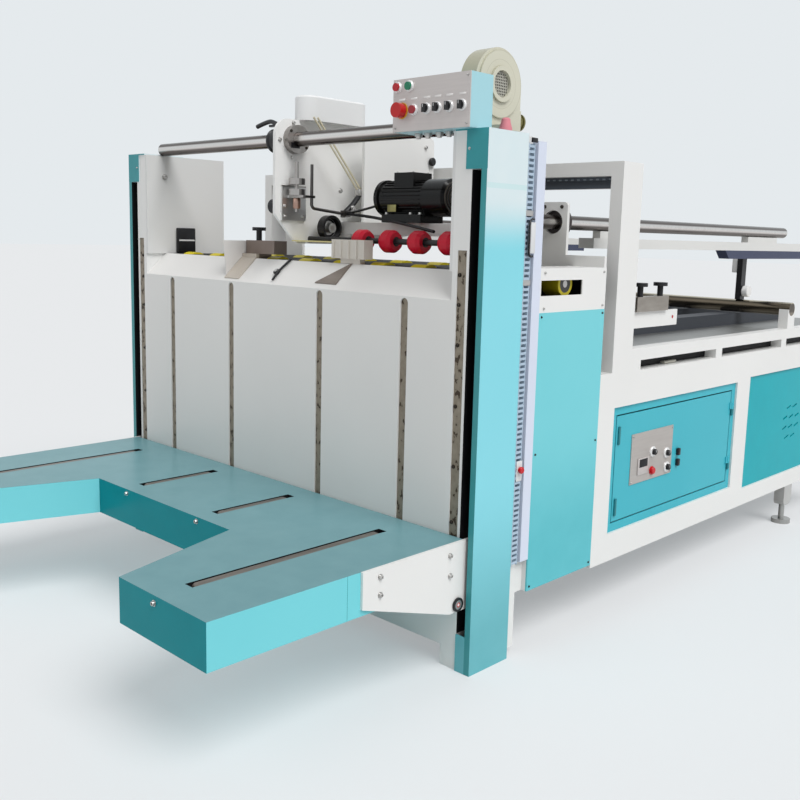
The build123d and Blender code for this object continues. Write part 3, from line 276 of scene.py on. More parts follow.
white_tones = (0.80, 0.80, 0.785), (0.74, 0.74, 0.725)
black_tones = (0.006, 0.006, 0.007), (0.016, 0.016, 0.018)
slot_bottom, slot_rear, cap_bottom = 111, 167.5, 1400
post_white = powder_coat("post_white", "white_paint", *white_tones)
slot_low, slot_high = (845.5, None, slot_bottom), (846.5, slot_rear, cap_bottom - 1)
# Painted shade: black on the post faces inside the guide slot.
repaint(post_white, inside_box(post_white, slot_low, slot_high, True), *black_tones)
finish_node("posts", post_white)


# Column covers: folded teal sheet down the outer side of each post, with a cap over the top and a
# foot plate. The paint is deeper at the foot. The front faces are painted a deeper teal for their
# shade, the sides paler towards the cap with a faint band for the reflection they show, and the
# guide slot black inside for its shade.
column_teal = powder_coat(
    "column_teal", "teal_paint", (0.25, 0.68, 0.77), (0.21, 0.64, 0.73), coat=0.15
)


def fade(material, start, end):
    """A mask that runs evenly from 0 to 1 between two heights in millimetres."""
    tree = material.node_tree
    ramp = tree.nodes.new("ShaderNodeMapRange")
    ramp.interpolation_type = "SMOOTHSTEP"
    ramp.inputs["From Min"].default_value = start / 1000
    ramp.inputs["From Max"].default_value = end / 1000
    tree.links.new(axes(tree)["Z"], ramp.inputs["Value"])
    return ramp.outputs["Result"]


outer_side, sheet_front = 880, -3.5
reflection_band_low, reflection_band_high = (outer_side, -3, 1352), (None, None, 1366)
shaded_cap_low, shaded_cap_high = (None, None, cap_bottom), (None, sheet_front, None)
shaded_front_low, shaded_front_high = (outer_side + 0.05, None, None), (899, sheet_front, cap_bottom)
inner_shade_low = (None, None, slot_bottom)
inner_shade_high = (outer_side + 0.2, slot_rear, cap_bottom - 0.5)
# Painted shade on the front faces and in the slot; painted reflection high on the sides.
for patch in (
    (fade(column_teal, 560, 60), (0.14, 0.46, 0.51), (0.11, 0.41, 0.46)),
    (fade(column_teal, 1180, 1335), (0.70, 0.79, 0.81), (0.64, 0.76, 0.79)),
    (inside_box(column_teal, reflection_band_low, reflection_band_high, True), (0.61, 0.77, 0.78), (0.56, 0.74, 0.76)),
    (inside_box(column_teal, shaded_cap_low, shaded_cap_high), (0.035, 0.30, 0.33), (0.025, 0.25, 0.28)),
    (inside_box(column_teal, shaded_front_low, shaded_front_high, True), (0.05, 0.31, 0.33), (0.03, 0.25, 0.27)),
    (inside_box(column_teal, inner_shade_low, inner_shade_high, True), *black_tones),
):
    repaint(column_teal, *patch)
finish_node("column_covers", column_teal)


to_front, to_right, upward = (0, -1, 0), (1, 0, 0), (0, 0, 1)


def place(x, y, z):
    """A point in millimetres, Y from the columns' front faces, as a point of the frame."""
    return Vector((x, y - column_front, z)) / 1000


def fix(piece, name, material, body="machine"):
    """Name a finished piece, smooth its curves, give it its material and fasten it to a body."""
    piece.name = name
    piece.data.materials.clear()
    piece.data.materials.append(material)
    bpy.ops.object.select_all(action="DESELECT")
    piece.select_set(True)
    bpy.context.view_layer.objects.active = piece
    bpy.ops.object.shade_smooth_by_angle(angle=math.radians(35))
    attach(piece, body)
    return piece


def turned(name, start, direction, profile, material, body="machine", sides=28):
    """A turned piece: a disc drawn out ring by ring; a ring is a step on the axis and a radius."""
    bpy.ops.object.select_all(action="DESELECT")
    step, radius = profile[0]
    bpy.ops.mesh.primitive_circle_add(vertices=sides, radius=radius / 1000, fill_type="NGON")
    piece = bpy.context.object
    piece.data.transform(Matrix.Translation((0, 0, step / 1000)))
    bpy.ops.object.mode_set(mode="EDIT")
    bpy.ops.mesh.select_all(action="SELECT")
    for next_step, next_radius in profile[1:]:
        bpy.ops.mesh.extrude_region_move(
            TRANSFORM_OT_translate={"value": (0, 0, (next_step - step) / 1000)}
        )
        share = next_radius / radius
        bpy.ops.transform.resize(value=(share, share, 1), center_override=(0, 0, next_step / 1000))
        step, radius = next_step, next_radius
    bpy.ops.mesh.select_all(action="SELECT")
    bpy.ops.mesh.normals_make_consistent(inside=False)
    bpy.ops.object.mode_set(mode="OBJECT")
    turn = Vector(direction).to_track_quat("Z", "Y").to_matrix().to_4x4()
    piece.data.transform(Matrix.Translation(place(*start)) @ turn)
    return fix(piece, name, material, body)


def copied(piece, name, shift):
    """A copy of a finished piece with its own mesh, moved by millimetres, on the same body."""
    twin = piece.copy()
    twin.data = piece.data.copy()
    twin.data.transform(Matrix.Translation(Vector(shift) / 1000))
    bpy.context.scene.collection.objects.link(twin)
    twin.name = name
    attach(twin, piece["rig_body"])
    return twin


def machined(name, slot, colour, shade, stretch=(60, 60, 60), roughness=0.3, metallic=1.0):
    """Material for bare metal: streaks of two tones drawn out along the way it was worked."""
    material = powder_coat(name, slot, colour, shade, roughness, peel=0.05, coat=0.0)
    tree = material.node_tree
    tree.nodes["Principled BSDF"].inputs["Metallic"].default_value = metallic
    where = tree.nodes["Texture Coordinate"]
    patches = tree.nodes["Noise Texture"]
    drawn = tree.nodes.new("ShaderNodeMapping")
    drawn.inputs["Scale"].default_value = stretch
    tree.links.new(where.outputs["Object"], drawn.inputs["Vector"])
    tree.links.new(drawn.outputs["Vector"], patches.inputs["Vector"])
    return material


def screws(prefix, places, direction, size, material, body="machine"):
    """Socket-head screws with washers, one turned and the rest copied from it."""
    washer = ((0, 1), (0.2, 1), (0.2, 0.72))
    head = ((0.8, 0.72), (0.92, 0.64), (0.92, 0.38), (0.5, 0.36))
    rings = [(step * size, radius * size) for step, radius in washer + head]
    first = turned(f"{prefix}_1", places[0], direction, rings, material, body, sides=16)
    for number, spot in enumerate(places[1:], 2):
        shift = [now - then for now, then in zip(spot, places[0])]
        copied(first, f"{prefix}_{number}", shift)


zinc = machined("zinc", "steel", (0.62, 0.61, 0.59), (0.42, 0.41, 0.40), (9, 9, 9), 0.32)
screws("cap_screw", [(x, -4, 1453) for x in (837, -837)], to_front, 4, zinc)


# Guide strips: bare steel set into the posts' front faces, worn brown by the table's shoes, with
# countersunk screws down the middle.
strip_metal = machined(
    "strip_metal", "worn_steel", (0.36, 0.32, 0.26), (0.13, 0.10, 0.065), (22, 22, 14), 0.42, 0.3
)
strip_patches = strip_metal.node_tree.nodes["Noise Texture"]
strip_patches.inputs["Scale"].default_value = 3.0
stain_from = 0.6
strip_stains = worked_out(
    strip_metal.node_tree, "GREATER_THAN", strip_patches.outputs["Fac"], stain_from
)
repaint(strip_metal, strip_stains, (0.060, 0.040, 0.022), (0.030, 0.020, 0.012), 0.0)
finish_node("guide_strips", strip_metal)
dark_zinc = machined(
    "dark_zinc", "steel", (0.10, 0.085, 0.07), (0.04, 0.035, 0.03), (20, 20, 20), 0.45
)
strip_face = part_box("guide_strips")[0].y * 1000 + column_front
strip_screw_heights = (1121, 1040, 930, 760, 590, 430)
screws(
    "strip_screw",
    [(x, strip_face, z) for x in (812, -812) for z in strip_screw_heights],
    to_front, 6, dark_zinc,
)


# Side plates: white sheet above the feeding bed on both sides. The left one carries a screw and a
# black sensor with a bright window line.
side_white = powder_coat("side_white", "white_paint", (0.74, 0.74, 0.73), (0.66, 0.66, 0.65))
finish_node("side_plates", side_white)


def block(name, low, high, edge, material, body="machine", steps=2):
    """A block between two corners in millimetres with rounded edges, fixed to a body."""
    low, high = place(*low), place(*high)
    bpy.ops.object.select_all(action="DESELECT")
    bpy.ops.mesh.primitive_cube_add(size=1)
    piece = bpy.context.object
    size = high - low
    piece.data.transform(Matrix.Translation((low + high) / 2) @ Matrix.Diagonal((*size, 1)))
    bpy.ops.object.mode_set(mode="EDIT")
    bpy.ops.mesh.select_all(action="SELECT")
    bpy.ops.mesh.bevel(offset=edge / 1000, segments=steps, affect="EDGES")
    bpy.ops.object.mode_set(mode="OBJECT")
    return fix(piece, name, material, body)


black_moulding = powder_coat(
    "black_moulding", "black_plastic", *black_tones, roughness=0.42, peel=0.2, grain=900.0,
    coat=0.1,
)
left_plate_face, sensor_face = -776, -758
block("side_sensor", (left_plate_face, 124, 1131), (sensor_face, 204, 1229), 4, black_moulding)
window_pale = powder_coat(
    "window_line", "white_paint", (0.75, 0.76, 0.76), (0.62, 0.63, 0.64), roughness=0.2
)
line_low, line_high = (sensor_face - 0.2, 128, 1178), (sensor_face + 1.4, 198, 1184)
block("side_sensor_line", line_low, line_high, 0.5, window_pale)
screws("side_plate_screw", ((left_plate_face, 78, 1421),), to_right, 12, zinc)


# Front plate: white sheet with four guide slots, folded back at the top into a sloping shelf that
# leads to the feeding bed. A small black stop lever is screwed to the shelf.
plate_white = powder_coat(
    "plate_white", "white_paint", (0.80, 0.795, 0.775), (0.73, 0.725, 0.71), coat=0.15
)
finish_node("front_plate", plate_white)


def bent_bar(name, points, radius, material, body="machine"):
    """A round bar through a few points in millimetres, smoothly bent, with closed ends."""
    line = bpy.data.curves.new(name, "CURVE")
    line.dimensions = "3D"
    line.bevel_depth = radius / 1000
    line.bevel_resolution = 3
    line.use_fill_caps = True
    run = line.splines.new("NURBS")
    run.points.add(len(points) - 1)
    for knot, point in zip(run.points, points):
        knot.co = (*place(*point), 1)
    run.order_u = 3
    run.use_endpoint_u = True
    run.resolution_u = 6
    piece = bpy.data.objects.new(name, line)
    bpy.context.scene.collection.objects.link(piece)
    bpy.ops.object.select_all(action="DESELECT")
    piece.select_set(True)
    bpy.context.view_layer.objects.active = piece
    bpy.ops.object.convert(target="MESH")
    return fix(bpy.context.object, name, material, body)


shelf_normal = (0, -0.69, 0.725)
turned(
    "stop_lever_boss", (-24, 38, 1087.5), shelf_normal, ((0, 11), (9, 11), (11, 9)), black_moulding
)
bent_bar(
    "stop_lever", ((-12, 8, 1066), (-14, 30, 1090), (-12, 50, 1108), (-2, 78, 1134)), 4,
    black_moulding,
)
turned("stop_lever_ring", (-24, 32, 1096), shelf_normal, ((0, 6), (3, 6), (4, 4)), zinc)


# Feeding bed, housings and gear covers: a dark bed plate between white welded housings. Folded
# white covers with a window enclose the gears at both ends, and screws hold the covers.
bed_steel = machined(
    "bed_steel", "steel", (0.012, 0.011, 0.010), (0.004, 0.004, 0.004), (4, 60, 60), 0.6, 0.0
)
finish_node("feed_bed", bed_steel)
frame_white = powder_coat("frame_white", "white_paint", *white_tones)
finish_node("feeder_housings", frame_white)
cover_white = powder_coat("cover_white", "white_paint", *white_tones)
cover_inner_side = 896.1
# Painted shade: the covers' inner faces are black where the window shows them.
inner_shade_low, inner_shade_high = (780, None, 1039), (cover_inner_side, None, 1138)
repaint(cover_white, inside_box(cover_white, inner_shade_low, inner_shade_high, True), *black_tones)
finish_node("gear_covers", cover_white)
feeder_side = 900
screws(
    "gear_cover_screw",
    [(feeder_side, y, z) for y in (270, 575) for z in (1128, 1026)],
    to_right, 4, zinc,
)


# Feed wheels: yellow rubber tyres on dark hubs along two steel shafts. They show in the bed's
# openings and behind the gear covers' windows.
feed_shaft_height = 1093
front_tones = (0.80, 0.68, 0.03), (0.62, 0.50, 0.015)
rear_tones = (0.70, 0.60, 0.02), (0.34, 0.27, 0.01)
hub_tones = (0.05, 0.05, 0.05), (0.09, 0.09, 0.085)
shaft_tones = (0.60, 0.59, 0.57), (0.45, 0.44, 0.43)


def inside_ring(material, centre, axis, most, least=0.0):
    """A mask that is 1 between two radii round an axis, given in millimetres."""
    tree = material.node_tree
    where = tree.nodes.new("ShaderNodeTexCoord")
    centred = tree.nodes.new("ShaderNodeVectorMath")
    centred.operation = "SUBTRACT"
    centred.inputs[1].default_value = place(*centre)
    tree.links.new(where.outputs["Object"], centred.inputs[0])
    flat = tree.nodes.new("ShaderNodeVectorMath")
    flat.operation = "MULTIPLY"
    flat.inputs[1].default_value = [0 if n == "XYZ".index(axis) else 1 for n in range(3)]
    tree.links.new(centred.outputs[0], flat.inputs[0])
    distance = tree.nodes.new("ShaderNodeVectorMath")
    distance.operation = "LENGTH"
    tree.links.new(flat.outputs[0], distance.inputs[0])
    inner = worked_out(tree, "GREATER_THAN", distance.outputs["Value"], least / 1000)
    outer = worked_out(tree, "LESS_THAN", distance.outputs["Value"], most / 1000)
    return worked_out(tree, "MULTIPLY", inner, outer)


for wheels, tyre_name, y, tyre_tones, roughness, coat in (
    ("front_feed_wheels", "tyre_yellow", 141, front_tones, 0.5, 0.05),
    ("rear_feed_wheels", "rear_tyre_yellow", 400, rear_tones, 0.4, 0.1),
):
    tyre = powder_coat(
        tyre_name, "yellow_rubber", *tyre_tones, roughness, peel=0.3, grain=700.0, coat=coat
    )
    centre = (0, y, feed_shaft_height)
    repaint(tyre, inside_ring(tyre, centre, "X", 26), *hub_tones, 0.6)
    repaint(tyre, inside_ring(tyre, centre, "X", 10.5), *shaft_tones, 1.0)
    finish_node(wheels, tyre)


# Side panels of the feeder and the body: teal sheet set into the white frames, deeper in tone
# towards the far end. Small screws hold the feeder's panels.
panel_teal = powder_coat(
    "panel_teal", "teal_paint", (0.21, 0.64, 0.70), (0.16, 0.58, 0.64), coat=0.05, gloss=0.14
)
repaint(panel_teal, fade(panel_teal, 700, 300), (0.125, 0.53, 0.59), (0.095, 0.47, 0.53))
far_panel = inside_box(panel_teal, (None, 1600, None), (None, None, None))
repaint(panel_teal, far_panel, (0.0, 0.40, 0.46), (0.0, 0.35, 0.41))
finish_node("side_panels", panel_teal)
screws(
    "panel_screw",
    [(feeder_side, y, z) for y in (262, 578) for z in (1002, 600, 198)],
    to_right, 3.5, dark_zinc,
)


# Drag chains: pale plastic energy chains hanging behind each column's cover, each held by two
# bright clamps. The right one has a black clip at the top, a white junction box in a wire loop,
# a white tag and a red push plug.
chain_blue = powder_coat(
    "chain_blue", "chain_plastic", (0.46, 0.57, 0.68), (0.38, 0.49, 0.60), roughness=0.5, peel=0.2,
    grain=600.0, coat=0.0,
)
# Painted shade: the gaps between the rungs are black for the hollow inside the chain.
shaded_rung_gaps = inside_box(chain_blue, (None, 178, None), (891, 199, None), True)
repaint(chain_blue, shaded_rung_gaps, (0.01, 0.012, 0.02), (0.03, 0.035, 0.05))
finish_node("drag_chains", chain_blue)
chain_face, clamp_reach = 896.5, 8
for number, z in enumerate((1292, 1101), 1):
    low_z, high_z = z - clamp_reach, z + clamp_reach
    block(f"chain_clamp_{number}", (879, 171, low_z), (898, 206, high_z), 2, zinc)
    block(f"left_chain_clamp_{number}", (-898, 171, low_z), (-879, 206, high_z), 2, zinc)
block("chain_junction_box", (chain_face, 184, 1182), (909, 206, 1268), 3, window_pale)
bent_bar(
    "chain_junction_loop",
    ((899, 207, 1276), (904, 181, 1280), (907, 179, 1225), (904, 181, 1170), (899, 207, 1174)),
    3, black_moulding,
)
block("chain_top_clip", (chain_face, 182, 1482), (902, 207, 1495), 2, black_moulding)
red_gloss = powder_coat(
    "red_gloss", "red_rubber", (0.62, 0.012, 0.02), (0.48, 0.008, 0.014), roughness=0.25
)
block("chain_tag", (chain_face, 179, 532), (898, 205, 592), 0.6, window_pale)
plug_rings = ((0, 7), (5, 7), (5, 10), (10, 10), (12, 8))
turned("chain_plug", (898, 192, 566), to_right, plug_rings, red_gloss)


# Chain guards: plain folded sheet channels in pale lavender grey that stand behind the drag
# chains, the same on both sides.
guard_lavender = powder_coat(
    "guard_lavender", "guard_paint", (0.68, 0.73, 0.84), (0.61, 0.66, 0.78)
)
finish_node("chain_guards", guard_lavender)


# Lift table: a flat welded box in teal with a flared recess, carried by the brackets. The top is
# painted a greyer tone for the reflection on its glossy paint, and the front faces a deeper teal
# and the belt slots black for their shade. Screws close its front plates.
table_teal = powder_coat(
    "table_teal", "teal_paint", (0.21, 0.66, 0.72), (0.16, 0.60, 0.66), roughness=0.3, coat=0.0,
    gloss=0.1,
)
front_shade_tones = (0.0, 0.25, 0.29), (0.0, 0.215, 0.25)
top_reflection_tones = (0.18, 0.345, 0.375), (0.135, 0.285, 0.315)
table_front, recess_rear, table_top = -845, -436, 394
# Painted shade on the front faces, painted reflection on the top.
shaded_front_face = inside_box(table_teal, (None, None, None), (None, table_front + 0.5, None))
shaded_recess_face = inside_box(
    table_teal, (None, recess_rear - 0.6, None), (None, recess_rear + 0.6, None)
)
top_face = inside_box(table_teal, (None, None, table_top - 0.5), (None, None, None))
for mask, tones in ((shaded_front_face, front_shade_tones), (shaded_recess_face, front_shade_tones), (top_face, top_reflection_tones)):
    repaint(table_teal, mask, *tones)
# Painted shade: the belt slots are black inside.
slot_half_width, slot_floor = 16.2, 353.8
for x, slot_front in ((208, -430), (656, -800)):
    low = (x - slot_half_width, slot_front, slot_floor)
    high = (x + slot_half_width, -60, table_top - 0.3)
    repaint(table_teal, inside_box(table_teal, low, high, True), *black_tones)
finish_node("lift_table", table_teal)
front_places = [(x, table_front, 375) for x in (654, -654)]
recess_places = [(x, recess_rear, 380) for x in (-191, 206)]
screws("table_front_screw", front_places, to_front, 8, zinc, "table")
screws("recess_screw", recess_places, to_front, 8, zinc, "table")


# Table belts: worn dark straps with round ends that lie in the table's slots and carry the
# blanks towards the front plate.
strap = machined(
    "strap", "dark_belt", (0.30, 0.27, 0.24), (0.09, 0.075, 0.065), (18, 2.5, 18), 0.35, 0.6
)
finish_node("table_belts", strap)


# Table brackets: folded white sheet at the table's rear corners with four screws each, and a black
# guide wheel with a red cap that runs along the column.
bracket_white = powder_coat("bracket_white", "white_paint", *white_tones)
finish_node("table_brackets", bracket_white)
bracket_face = 870
bolt_places = ((-332, 369), (-331, 321), (-66, 362), (-64, 304))
wheel_axle = (0, -30, 213)
for side, word in ((1, "right"), (-1, "left")):
    places = [(side * bracket_face, y, z) for y, z in bolt_places]
    screws(f"{word}_bracket_bolt", places, (side, 0, 0), 8, zinc, "table")
    wheel_black = powder_coat(
        f"{word}_wheel_black", "black_plastic", *black_tones, roughness=0.4, coat=0.1
    )
    red_cap = inside_ring(wheel_black, wheel_axle, "X", 7)
    steel_boss = inside_ring(wheel_black, wheel_axle, "X", 13, 7)
    repaint(wheel_black, red_cap, (0.55, 0.02, 0.02), (0.45, 0.015, 0.015))
    repaint(wheel_black, steel_boss, (0.45, 0.45, 0.44), (0.3, 0.3, 0.3), 0.9)
    finish_node(f"{word}_guide_wheel", wheel_black)


# Tubes: polished steel tubes, one across the columns that carries the head, two along the machine
# that carry the folding gear, with domed rear ends, and a polished rod across the bed. The dark
# room they mirror is painted on: a pale band between two dark ones on the tubes, and on the rod a
# dark brown tone with a painted cream highlight and a darker band below.
front_tube_height, front_tube_rear, long_tube_height = 1523, 120, 1277
tube_steel = machined(
    "tube_steel", "chrome", (0.80, 0.78, 0.76), (0.62, 0.59, 0.57), (1.2, 22, 22), 0.2
)
# Painted reflection: two dark bands on each tube, above and below its axis.
for z, low_y, high_y in (
    (front_tube_height, None, front_tube_rear),
    (long_tube_height, front_tube_rear, None),
):
    around = inside_box(tube_steel, (None, low_y, z - 24), (None, high_y, z + 24))
    for start, end, colour, shade in (
        (z + 5, z + 12, (0.09, 0.075, 0.07), (0.13, 0.11, 0.10)),
        (z - 3, z - 11, (0.11, 0.095, 0.09), (0.16, 0.14, 0.13)),
    ):
        dark_reflection = fade(tube_steel, start, end)
        reflection_band = worked_out(tube_steel.node_tree, "MULTIPLY", around, dark_reflection)
        repaint(tube_steel, reflection_band, colour, shade)
finish_node("tubes", tube_steel)
long_tube_places = (("right", 700), ("left", -600))
dome_rings = ((0, 23), (4, 20), (7, 14), (8, 6))
for word, x in long_tube_places:
    turned(f"{word}_tube_end", (x, 2355, long_tube_height), (0, 1, 0), dome_rings, tube_steel)
rod_steel = machined(
    "rod_steel", "chrome", (0.12, 0.10, 0.075), (0.07, 0.058, 0.042), (1.5, 20, 20), 0.22
)
# Painted reflection on the rod: a cream highlight band and a darker band below it.
for start, end, colour, shade in (
    (978, 983, (0.66, 0.61, 0.50), (0.54, 0.49, 0.39)),
    (948, 940, (0.30, 0.26, 0.21), (0.22, 0.19, 0.15)),
):
    repaint(rod_steel, fade(rod_steel, start, end), colour, shade)
finish_node("cross_rod", rod_steel)


# Feed head: white plates with rounded corners hung on the front tube. A steel flange with three
# bolts locates them, and a black clamp collar with a drooping lever holds them.
head_white = powder_coat("head_white", "white_paint", (0.84, 0.84, 0.825), (0.79, 0.79, 0.775))
for name in ("head_plate", "cross_beam"):
    finish_node(name, head_white)
fitting_steel = machined(
    "fitting_steel", "steel", (0.40, 0.38, 0.36), (0.22, 0.20, 0.19), (14, 30, 30), 0.33
)
for low, high in (
    ((None, None, None), (0, None, None)),
    ((31, 48, 1494), (33, 84, 1512)),
):
    repaint(fitting_steel, inside_box(fitting_steel, low, high), *black_tones, 0.0)
finish_node("tube_fittings", fitting_steel)
head_face, drive_face, flange_face = 8, 112, 32
head_bolts = [(head_face, y, z) for y, z in ((76, 1577), (72, 1466), (20, 1519), (31, 1290))]
drive_bolts = [(drive_face, y, z) for y, z in ((192, 1363), (600, 1536), (600, 1262))]
flange_bolts = [(flange_face, y, z) for y, z in ((112, 1548), (48, 1548), (112, 1498))]
screws("head_plate_bolt", head_bolts, to_right, 7, zinc)
screws("drive_plate_bolt", drive_bolts, to_right, 8, zinc)
screws("flange_bolt", flange_bolts, to_right, 5, dark_zinc)
lever_black = powder_coat(
    "lever_black", "black_plastic", *black_tones, roughness=0.35, coat=0.2
)
finish_node("clamp_lever", lever_black)
tube_axle_y = 80
collar_rings = (
    (0, 24), (0, 39), (30, 40), (34, 36), (38, 36), (42, 40), (48, 40), (50, 37), (50, 24)
)
turned(
    "collar_sleeve", (-44, tube_axle_y, front_tube_height), (-1, 0, 0), collar_rings, lever_black
)
handle_way = [
    (x, tube_axle_y, z)
    for x, z in ((-24, 1573), (-70, 1572), (-96, 1584), (-126, 1592), (-190, 1576))
]
bent_bar("clamp_lever_handle", handle_way, 7.5, lever_black, "lever")
knob_black = powder_coat(
    "knob_black", "black_plastic", *black_tones,
    roughness=0.45, peel=0.25, grain=800.0, coat=0.05,
)
finish_node("clamp_knobs", knob_black)
knob_rings = ((0, 7), (4, 7), (4, 14), (12, 15), (15, 12))
turned("rear_head_knob", (drive_face, 628, 1488), to_right, knob_rings, knob_black)


# Belt cover: a smooth white hood with rounded ends over the head's drive. Two cream round belts
# run down from it to the motor's pulley.
hood_white = powder_coat(
    "hood_white", "white_paint", (0.80, 0.81, 0.81), (0.75, 0.76, 0.76), roughness=0.28, coat=0.15
)
finish_node("belt_cover", hood_white)
cream_belt = powder_coat(
    "cream_belt", "cream_paint", (0.70, 0.66, 0.52), (0.55, 0.50, 0.36), roughness=0.5, coat=0.0
)
belt_plane, belt_spacing = 86, 17
for number in (1, 2):
    shift = (number - 1) * belt_spacing
    belt_way = [(belt_plane, y + shift, z) for y, z in ((96, 1592), (180, 1497), (296, 1368))]
    bent_bar(f"drive_belt_{number}", belt_way, 3.5, cream_belt)
block("belt_shackle", (78, 288, 1352), (99, 318, 1374), 3, zinc)
arm_way = ((90, 302, 1362), (belt_plane, 288, 1330), (80, 240, 1292))
bent_bar("belt_arm", arm_way, 9, black_moulding)
screws("belt_arm_screw", ((96, 264, 1310),), to_right, 9, zinc)


# Feed motor: black cast housing with cooling fins, a terminal box on top and a fan cowl with
# rings on its end, screwed by its foot to the white cross beam. Its name plate is left bare.
motor_black = powder_coat(
    "motor_black", "black_paint", (0.002, 0.002, 0.002), (0.006, 0.006, 0.006), roughness=0.25,
    coat=0.15, gloss=0.15,
)
finish_node("feed_motor", motor_black)
bare_plate = machined(
    "bare_plate", "steel", (0.30, 0.28, 0.12), (0.20, 0.18, 0.08), (40, 40, 40), 0.4
)
block("motor_name_plate", (318, 209.3, 1296), (356, 211.5, 1318), 0.5, bare_plate)
fin = block("motor_fin_1", (286, 260.5, 1391), (456, 263.5, 1396), 0.8, motor_black, steps=1)
fin_count = 26
motor_y, motor_z = 262, 1340
axle = Matrix.Translation(place(0, motor_y, motor_z))
for number in range(1, fin_count):
    turn = number * math.tau / fin_count
    clear_of_box = abs(math.sin(turn)) > 0.35 or math.cos(turn) < 0
    if clear_of_box:
        twin = copied(fin, f"motor_fin_{number + 1}", (0, 0, 0))
        twin.data.transform(axle @ Matrix.Rotation(turn, 4, "X") @ axle.inverted())
cowl_end = Matrix.Translation(place(558.5, motor_y, motor_z)) @ Matrix.Rotation(math.pi / 2, 4, "Y")
for number, radius in enumerate((14, 26, 38, 48), 1):
    bpy.ops.object.select_all(action="DESELECT")
    bpy.ops.mesh.primitive_torus_add(
        major_segments=36, minor_segments=8, major_radius=radius / 1000, minor_radius=0.0022
    )
    ring = bpy.context.object
    ring.data.transform(cowl_end)
    fix(ring, f"cowl_ring_{number}", dark_zinc)
screws("motor_foot_bolt", [(x, 221, 1288) for x in (410, 451, 304)], upward, 7, zinc)
screws(
    "terminal_box_screw",
    [(x, y, 1418) for x in (343, 411) for y in (228, 296)],
    upward, 4, zinc,
)


# Press rollers: red rubber rollers with crowned ends on a black shaft over the feeding bed, and
# the head's drive pulley with a bright hub beside them.
roller_red = powder_coat(
    "roller_red", "red_rubber", (0.62, 0.010, 0.035), (0.50, 0.007, 0.025), roughness=0.4,
    peel=0.25, grain=600.0, coat=0.1, gloss=0.2,
)
roller_shaft = inside_ring(roller_red, (0, 150, 1203), "X", 15)
repaint(roller_red, roller_shaft, (0.02, 0.02, 0.022), (0.05, 0.05, 0.05), 0.5)
finish_node("press_rollers", roller_red)
pulley_axle = (0, 197, 1241)
pulley_black = powder_coat(
    "pulley_black", "black_plastic", *black_tones, roughness=0.38, coat=0.1
)
for most, least, colour, shade, metallic in (
    (24, 0, (0.60, 0.60, 0.59), (0.42, 0.42, 0.41), 0.9),
    (8.2, 0, *black_tones, 0.0),
    (33, 30, (0.30, 0.30, 0.30), (0.2, 0.2, 0.2), 0.8),
):
    groove = inside_ring(pulley_black, pulley_axle, "X", most, least)
    repaint(pulley_black, groove, colour, shade, metallic)
finish_node("drive_pulley", pulley_black)


# Head adjuster: a bright spindle with two knurled nuts in a plate on the head, a brass-coloured
# coil, and a bent probe rod that ends in a clamp block. A dark hold-down arm reaches over the
# rollers, and a thin brace runs to the motor.
adjuster_steel = machined(
    "adjuster_steel", "steel", (0.52, 0.50, 0.48), (0.30, 0.28, 0.27), (30, 30, 8), 0.3
)
for low, high, colour, shade in (
    ((60, 60, 1280), (None, None, 1450), (0.07, 0.065, 0.065), (0.14, 0.13, 0.125)),
    ((None, None, 1262), (20, None, 1370), (0.72, 0.72, 0.71), (0.62, 0.62, 0.61)),
):
    repaint(adjuster_steel, inside_box(adjuster_steel, low, high), colour, shade)
finish_node("head_adjuster", adjuster_steel)
screws("adjuster_screw", ((16, 36, 1308), (16, 36, 1275), (16, 112, 1275)), to_right, 6, zinc)
worn_brass = machined(
    "worn_brass", "worn_steel", (0.50, 0.34, 0.28), (0.30, 0.18, 0.14), (20, 20, 60), 0.35
)
turned("adjuster_coil", (45, 62, 1300), upward, ((0, 11), (4, 13), (30, 13), (34, 11)), worn_brass)
hold_down_way = ((98, 240, 1289), (200, 236, 1283), (420, 200, 1256), (560, 168, 1236))
bent_bar("hold_down_arm", hold_down_way, 5, black_moulding)
brace_way = ((98, 240, 1292), (170, 240, 1300), (286, 222, 1322))
bent_bar("motor_brace", brace_way, 4, black_moulding)


# Blank guides: cream folded sheet on the feeding bed. The left one is a box with a side cheek that
# stands on the shelf, the right one a ribbed block with a brown triangular tongue.
guide_cream = powder_coat(
    "guide_cream", "cream_paint", (0.66, 0.63, 0.57), (0.56, 0.52, 0.47), roughness=0.4
)
shelf_top, left_guide_side = 1131, -110
box_low, box_high = (None, None, shelf_top), (left_guide_side, None, None)
foot_low, foot_high = (-300, None, None), (left_guide_side, 95, 1150)
tongue_low, tongue_high = (190, None, None), (300, 84, shelf_top)
bar_low, bar_high = (8.2, None, 1190), (214, None, 1199)
for low, high, colour, shade, metallic in (
    (box_low, box_high, (0.26, 0.21, 0.18), (0.17, 0.13, 0.11), 0.4),
    (foot_low, foot_high, (0.60, 0.55, 0.48), (0.48, 0.43, 0.37), None),
    (tongue_low, tongue_high, (0.26, 0.22, 0.19), (0.16, 0.13, 0.11), 0.3),
    (bar_low, bar_high, (0.62, 0.56, 0.26), (0.50, 0.44, 0.20), None),
):
    repaint(guide_cream, inside_box(guide_cream, low, high), colour, shade, metallic)
finish_node("blank_guides", guide_cream)


